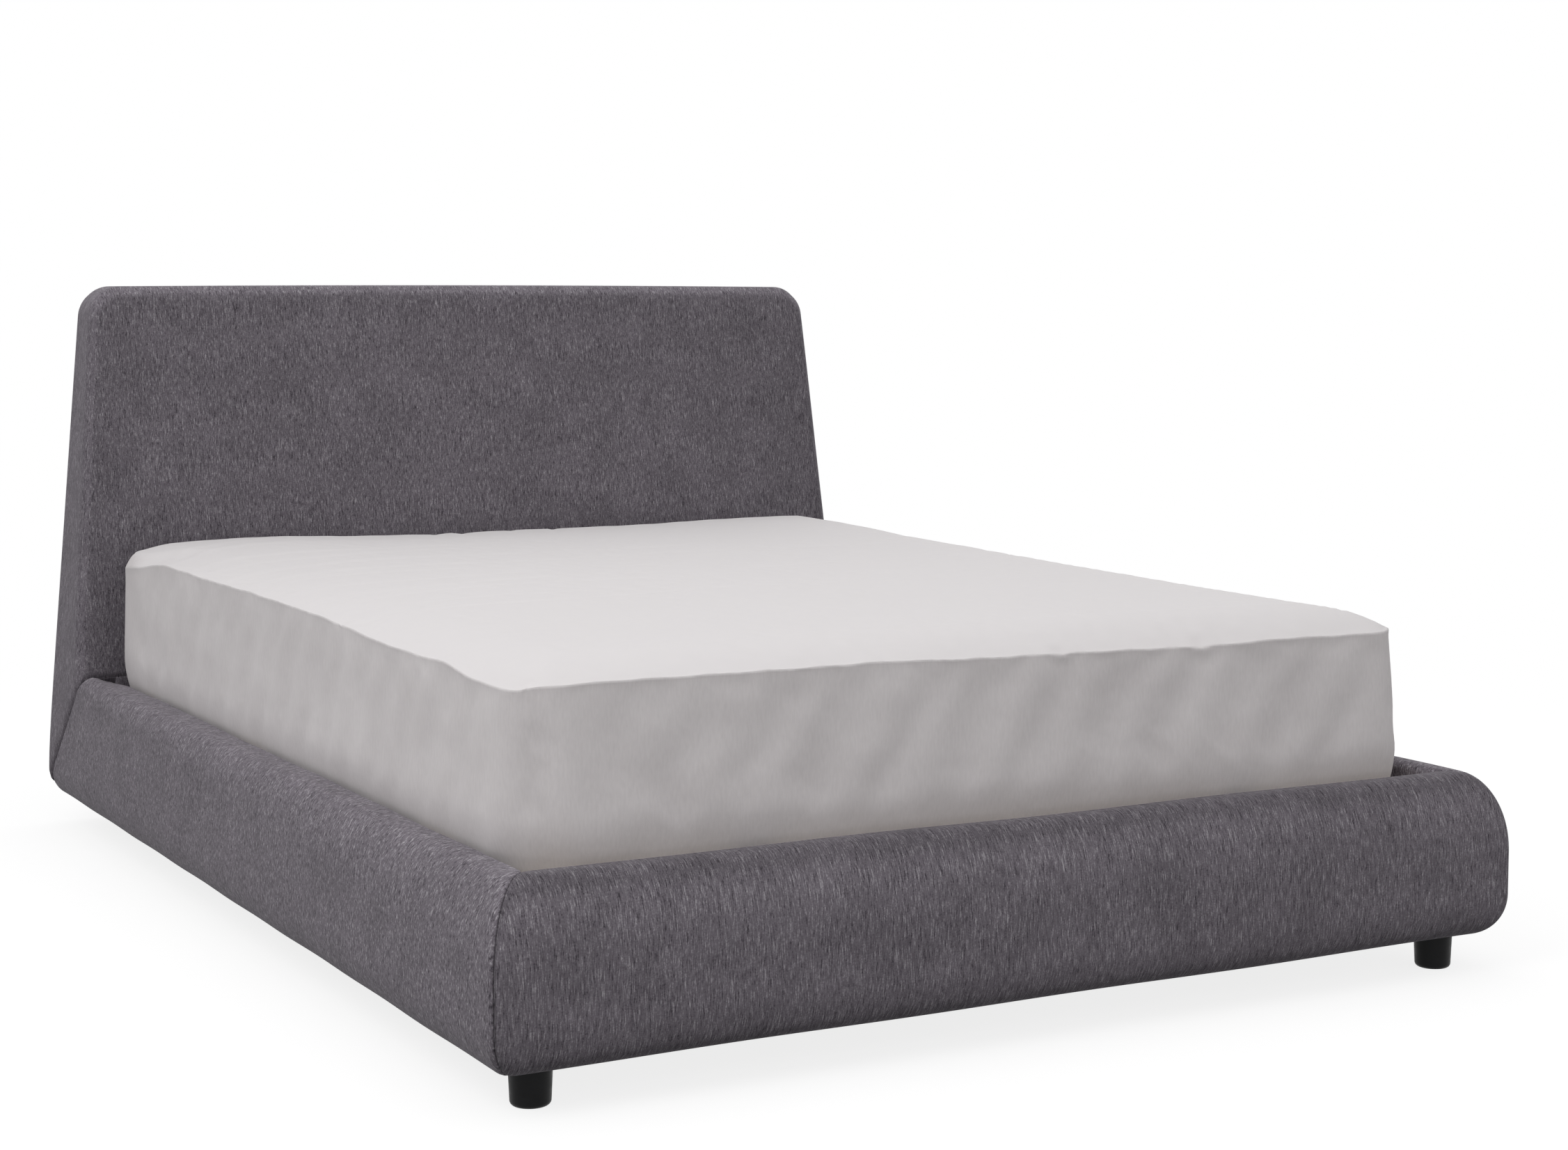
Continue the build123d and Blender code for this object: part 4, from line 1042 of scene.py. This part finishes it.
def top_ripples(x, y):
    """Long soft ripples across the sheet, bent at its left edge."""
    left = MATTRESS_SHIFT - MATTRESS_HALF
    total = 0 * x
    for number in range(RIPPLE_COUNT):
        start = 0.88 - 0.105 * number + 0.02 * math.sin(2.3 * number)
        line = start - 0.17 * np.exp(-(x - left) / 0.13) + 0.014 * ripple(x, 0.63, 1.3 * number)
        spread = 0.013 + 0.005 * math.sin(1.7 * number)
        reach = 0.55 + 0.35 * math.sin(0.9 * number + 0.6) ** 2
        fade = np.clip((x - left) / 0.05, 0, 1) * np.clip(1 - (x - left - 0.2) / reach, 0, 1)
        total += bell(y - line, spread) * fade
    return RIPPLE_HEIGHT * total


def side_folds(points):
    """Slow waves round the sheet's sides, and drag lines at the front right."""
    x, y, z = np.moveaxis(points, -1, 0)
    slow = 0.0008 * ripple(x + 0.9 * y + 0.25 * z, 0.26, 0.2)
    slow += 0.0005 * ripple(x - 1.1 * y - 0.5 * z, 0.117, 2.2)
    drag = 0 * x
    for number in range(6):
        start = 0.18 + 0.075 * number
        line = start - 0.9 * (z - 0.34) + 0.01 * ripple(z, 0.12, number)
        drag += bell(x - line, 0.008) * bell(z - 0.37, 0.035)
    return slow + np.where(y < sheet_low.y + 0.02, 0.0011, 0.0) * drag


def sheet_hold(form, points):
    """How firmly the sheet is held: most at its hem, least on its sides."""
    height = points[:, 2]
    free = HELD_SIDE + (HELD_TOP - HELD_SIDE) * ease((height - MATTRESS_CREASE + HELD_RISE) / HELD_RISE)
    return 1 + ease((height - form.bottom - MATTRESS_LOW_EDGE) / HELD_RISE) * (free - 1)


def make_sheet():
    """The fitted sheet, with its crease, ripples and hem tucked under."""
    form = MattressForm(0.0)
    top, inside = form.top()
    top[..., 2] += crease_wander(top, inside)
    top[..., 2] += top_ripples(top[..., 0], top[..., 1]) * np.clip(inside / FOLD_FADE, 0, 1)
    sides = form.sides(SHEET_TUCK - MATTRESS_LOW_EDGE)
    _, out = form.around(0.0, 0.0)
    below = sides[0, :, 2] - sides[..., 2]
    fade = np.clip(below / FOLD_FADE, 0, 1) * np.clip((sides[..., 2] - form.bottom) / FOLD_FADE, 0, 1)
    sides[..., :2] += out * (side_folds(sides) * fade)[..., None]
    sides[..., 2] += crease_wander(sides, below)
    sheet = mesh_object("fitted_cotton_sheet", [top, sides], sheet_cotton())
    settle(sheet, sheet_hold(form, points_of(sheet.data)))
    thicken(sheet, SHEET_THICKNESS, -1)
    fasten(sheet, "mattress", "sheet", "fitted_sheet")


def make_mattress():
    """The mattress under its sheet, in striped ticking."""
    form = MattressForm(MATTRESS_INSET)
    top, _ = form.top()
    sides = form.sides(0.0)
    under = top.copy()
    under[..., 2] = form.bottom
    scale = 1 + (form.flare(1.0) - MATTRESS_LOW_EDGE) / form.half
    under[..., :2] = form.middle + (under[..., :2] - form.middle) * scale
    first = 0
    for edge in (under[:, 0], under[-1], under[::-1, -1], under[0, ::-1]):
        edge[:] = sides[-1, first : first + len(edge)]
        first += len(edge) - 1
    body = mesh_object("mattress_body", [top, sides, under], ticking())
    fasten(body, "mattress", "ticking", "mattress")


# Slat straps

def make_straps(zinc):
    """Two webbing straps stapled to the slats, slack between them."""
    names = [name for name in sorted(nodes) if name.startswith("slat_") and name[-1].isdigit()]
    slats = [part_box(name) for name in names]
    low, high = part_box("slat_straps")
    y = np.linspace(low.y, high.y, round((high.y - low.y) / STRAP_STEP))
    height = np.full_like(y, low.z + STRAP_THICKNESS / 2)
    for (_, before), (after, _) in zip(slats[:-1], slats[1:]):
        share = np.clip((y - before.y) / (after.y - before.y), 0, 1)
        height -= STRAP_SAG * np.sin(math.pi * share) ** 2
    top = low.z + STRAP_THICKNESS - STAPLE_SINK
    cloth = webbing()
    for side, name in ((-1, "left"), (1, "right")):
        middle = side * (high.x - STRAP_WIDTH / 2)
        x = middle + np.linspace(-STRAP_WIDTH / 2, STRAP_WIDTH / 2, 9)
        strap = mesh_object(f"{name}_slat_strap", [swept(x, np.stack([y, height], 1))], cloth)
        thicken(strap, STRAP_THICKNESS, 0)
        fasten(strap, "bed_frame", "webbing", "slat_straps")
        places = []
        for slat_low, slat_high in slats:
            for step in (-STAPLE_STEP, STAPLE_STEP):
                centre = (slat_low.y + slat_high.y) / 2 + step
                places.append(((middle, centre, top), (1, 0, 0), (0, 0, 1)))
        pins = staples(f"{name}_strap_staples", places, zinc)


# Finishes of the pieces that keep their shape

def finish_frame(zinc):
    """Gives every piece that keeps its shape a finish, by words in its name."""
    pale, deep = (0.45, 0.385, 0.30), (0.34, 0.28, 0.205)
    finishes = (
        (black_satin(), "_foot", "leveller_pad"),
        (zinc, "bolts", "stud"),
        (steel("painted_steel", (0.022, 0.022, 0.024), 0.48, 0.0), "bracket", "hanger"),
        (wood("plywood", "Y", (0.57, 0.46, 0.32), (0.46, 0.34, 0.21), 0.03), "gusset", "panel", "_board"),
        (wood("pine_along", "Y", pale, deep, 0.014), "ledger", "centre_beam"),
        (wood("pine_upright", "Z", pale, deep, 0.014), "leg", "corner_block"),
        (wood("pine_across", "X", pale, deep, 0.016), ""),
    )
    for name, node in nodes.items():
        finish = next(finish for finish, *words in finishes if any(word in name for word in words))
        node.data.materials.clear()
        node.data.materials.append(finish)


zinc_plate = steel("zinc_steel", (0.55, 0.55, 0.57), 0.38, 1.0)
finish_frame(zinc_plate)
make_rails()
make_headboard()
make_lining(zinc_plate)
make_mattress()
make_sheet()
make_straps(zinc_plate)


# Stage: pale floor, white backdrop and soft studio light

AMBIENT = 0.64
FLOOR_GLOW = 0.82
FLOOR_TONE = 0.24
FLOOR_BOUNCE = 0.26
FLOOR_FADE = (1.6, 4.0)
# Painted shadow under the bed: the share of the floor's glow kept there, and the spans across, at the
# middle and along where it eases back
PAINTED_SHADOW_GLOW = 0.2
PAINTED_SHADOW_WIDTH = (0.40, 0.74)
PAINTED_SHADOW_MIDDLE = 0.15
PAINTED_SHADOW_LENGTH = (0.70, 1.0)


def grey(tone):
    """An even colour."""
    return (tone, tone, tone, 1.0)


def make_world():
    """A white backdrop that lights the bed softly."""
    scene.world = bpy.data.worlds.new("studio")
    scene.world.use_nodes = True
    sky = Nodes(scene.world.node_tree)
    ambient = sky.tree.nodes["Background"]
    sky.wire(ambient, {"Color": grey(1.0), "Strength": AMBIENT})
    white = sky.shader("Background", color=grey(1.0))
    surface = sky.shader("MixShader", sky.looked_at(), ambient.outputs[0], white)
    sky.wire(sky.tree.nodes["World Output"], {"Surface": surface})


def make_floor():
    """A pale floor, dark under the bed by a painted shadow in its glow, and fading to white."""
    bpy.ops.mesh.primitive_plane_add(size=60)
    floor = bpy.context.object
    floor.name = "floor"
    paint = Finish("floor")
    paint.tree.nodes.remove(paint.principled)
    x, y, _ = paint.add("SeparateXYZ", {"Vector": paint.coordinates}).outputs
    # Painted shadow: the glow is dimmed to a fifth under the bed and eases back to full beyond its sides
    # and ends.
    beside = paint.range(paint.math("ABSOLUTE", x), *PAINTED_SHADOW_WIDTH, PAINTED_SHADOW_GLOW)
    along = paint.math("ABSOLUTE", paint.math("SUBTRACT", y, PAINTED_SHADOW_MIDDLE))
    under = paint.math("MAXIMUM", beside, paint.range(along, *PAINTED_SHADOW_LENGTH, PAINTED_SHADOW_GLOW))
    glow = paint.shader("Emission", strength=paint.math("MULTIPLY", under, FLOOR_GLOW))
    near = paint.shader("AddShader", glow, paint.shader("BsdfDiffuse", color=grey(FLOOR_TONE)))
    distance = paint.add("VectorMath", {0: paint.coordinates}, operation="LENGTH").outputs["Value"]
    far = paint.shader("Emission", strength=1.0)
    seen = paint.shader("MixShader", paint.range(distance, *FLOOR_FADE), near, far)
    bounce = paint.shader("BsdfDiffuse", color=grey(FLOOR_BOUNCE))
    surface = paint.shader("MixShader", paint.looked_at(), bounce, seen)
    paint.wire(paint.tree.nodes["Material Output"], {"Surface": surface})
    floor.data.materials.append(paint.material)


def area_light(name, place, target, size, power):
    """A square soft box aimed at a point."""
    light = bpy.data.lights.new(name, "AREA")
    light.size = size
    light.energy = power
    lamp = bpy.data.objects.new(name, light)
    scene.collection.objects.link(lamp)
    lamp.location = place
    lamp.rotation_euler = (Vector(target) - Vector(place)).to_track_quat("-Z", "Y").to_euler()


def make_camera():
    """The photograph's viewpoint, found from the bed's straight edges."""
    camera_data = bpy.data.cameras.new("camera")
    camera = bpy.data.objects.new("camera", camera_data)
    scene.collection.objects.link(camera)
    camera.location = (-2.17166, -4.34603, 1.06508)
    camera.rotation_euler = (math.radians(90 - 3.197), 0.0, math.radians(-28.518))
    camera_data.sensor_width = 36.0
    camera_data.lens = 62.745
    camera_data.shift_y = -0.0826
    scene.camera = camera


make_world()
make_floor()
area_light("key", (-3.2, -1.8, 3.7), (0.0, 0.0, 0.4), 2.6, 58)
area_light("overhead", (0.4, 0.4, 4.2), (0.0, 0.0, 0.3), 3.2, 30)
make_camera()
scene.view_settings.view_transform = "Standard"
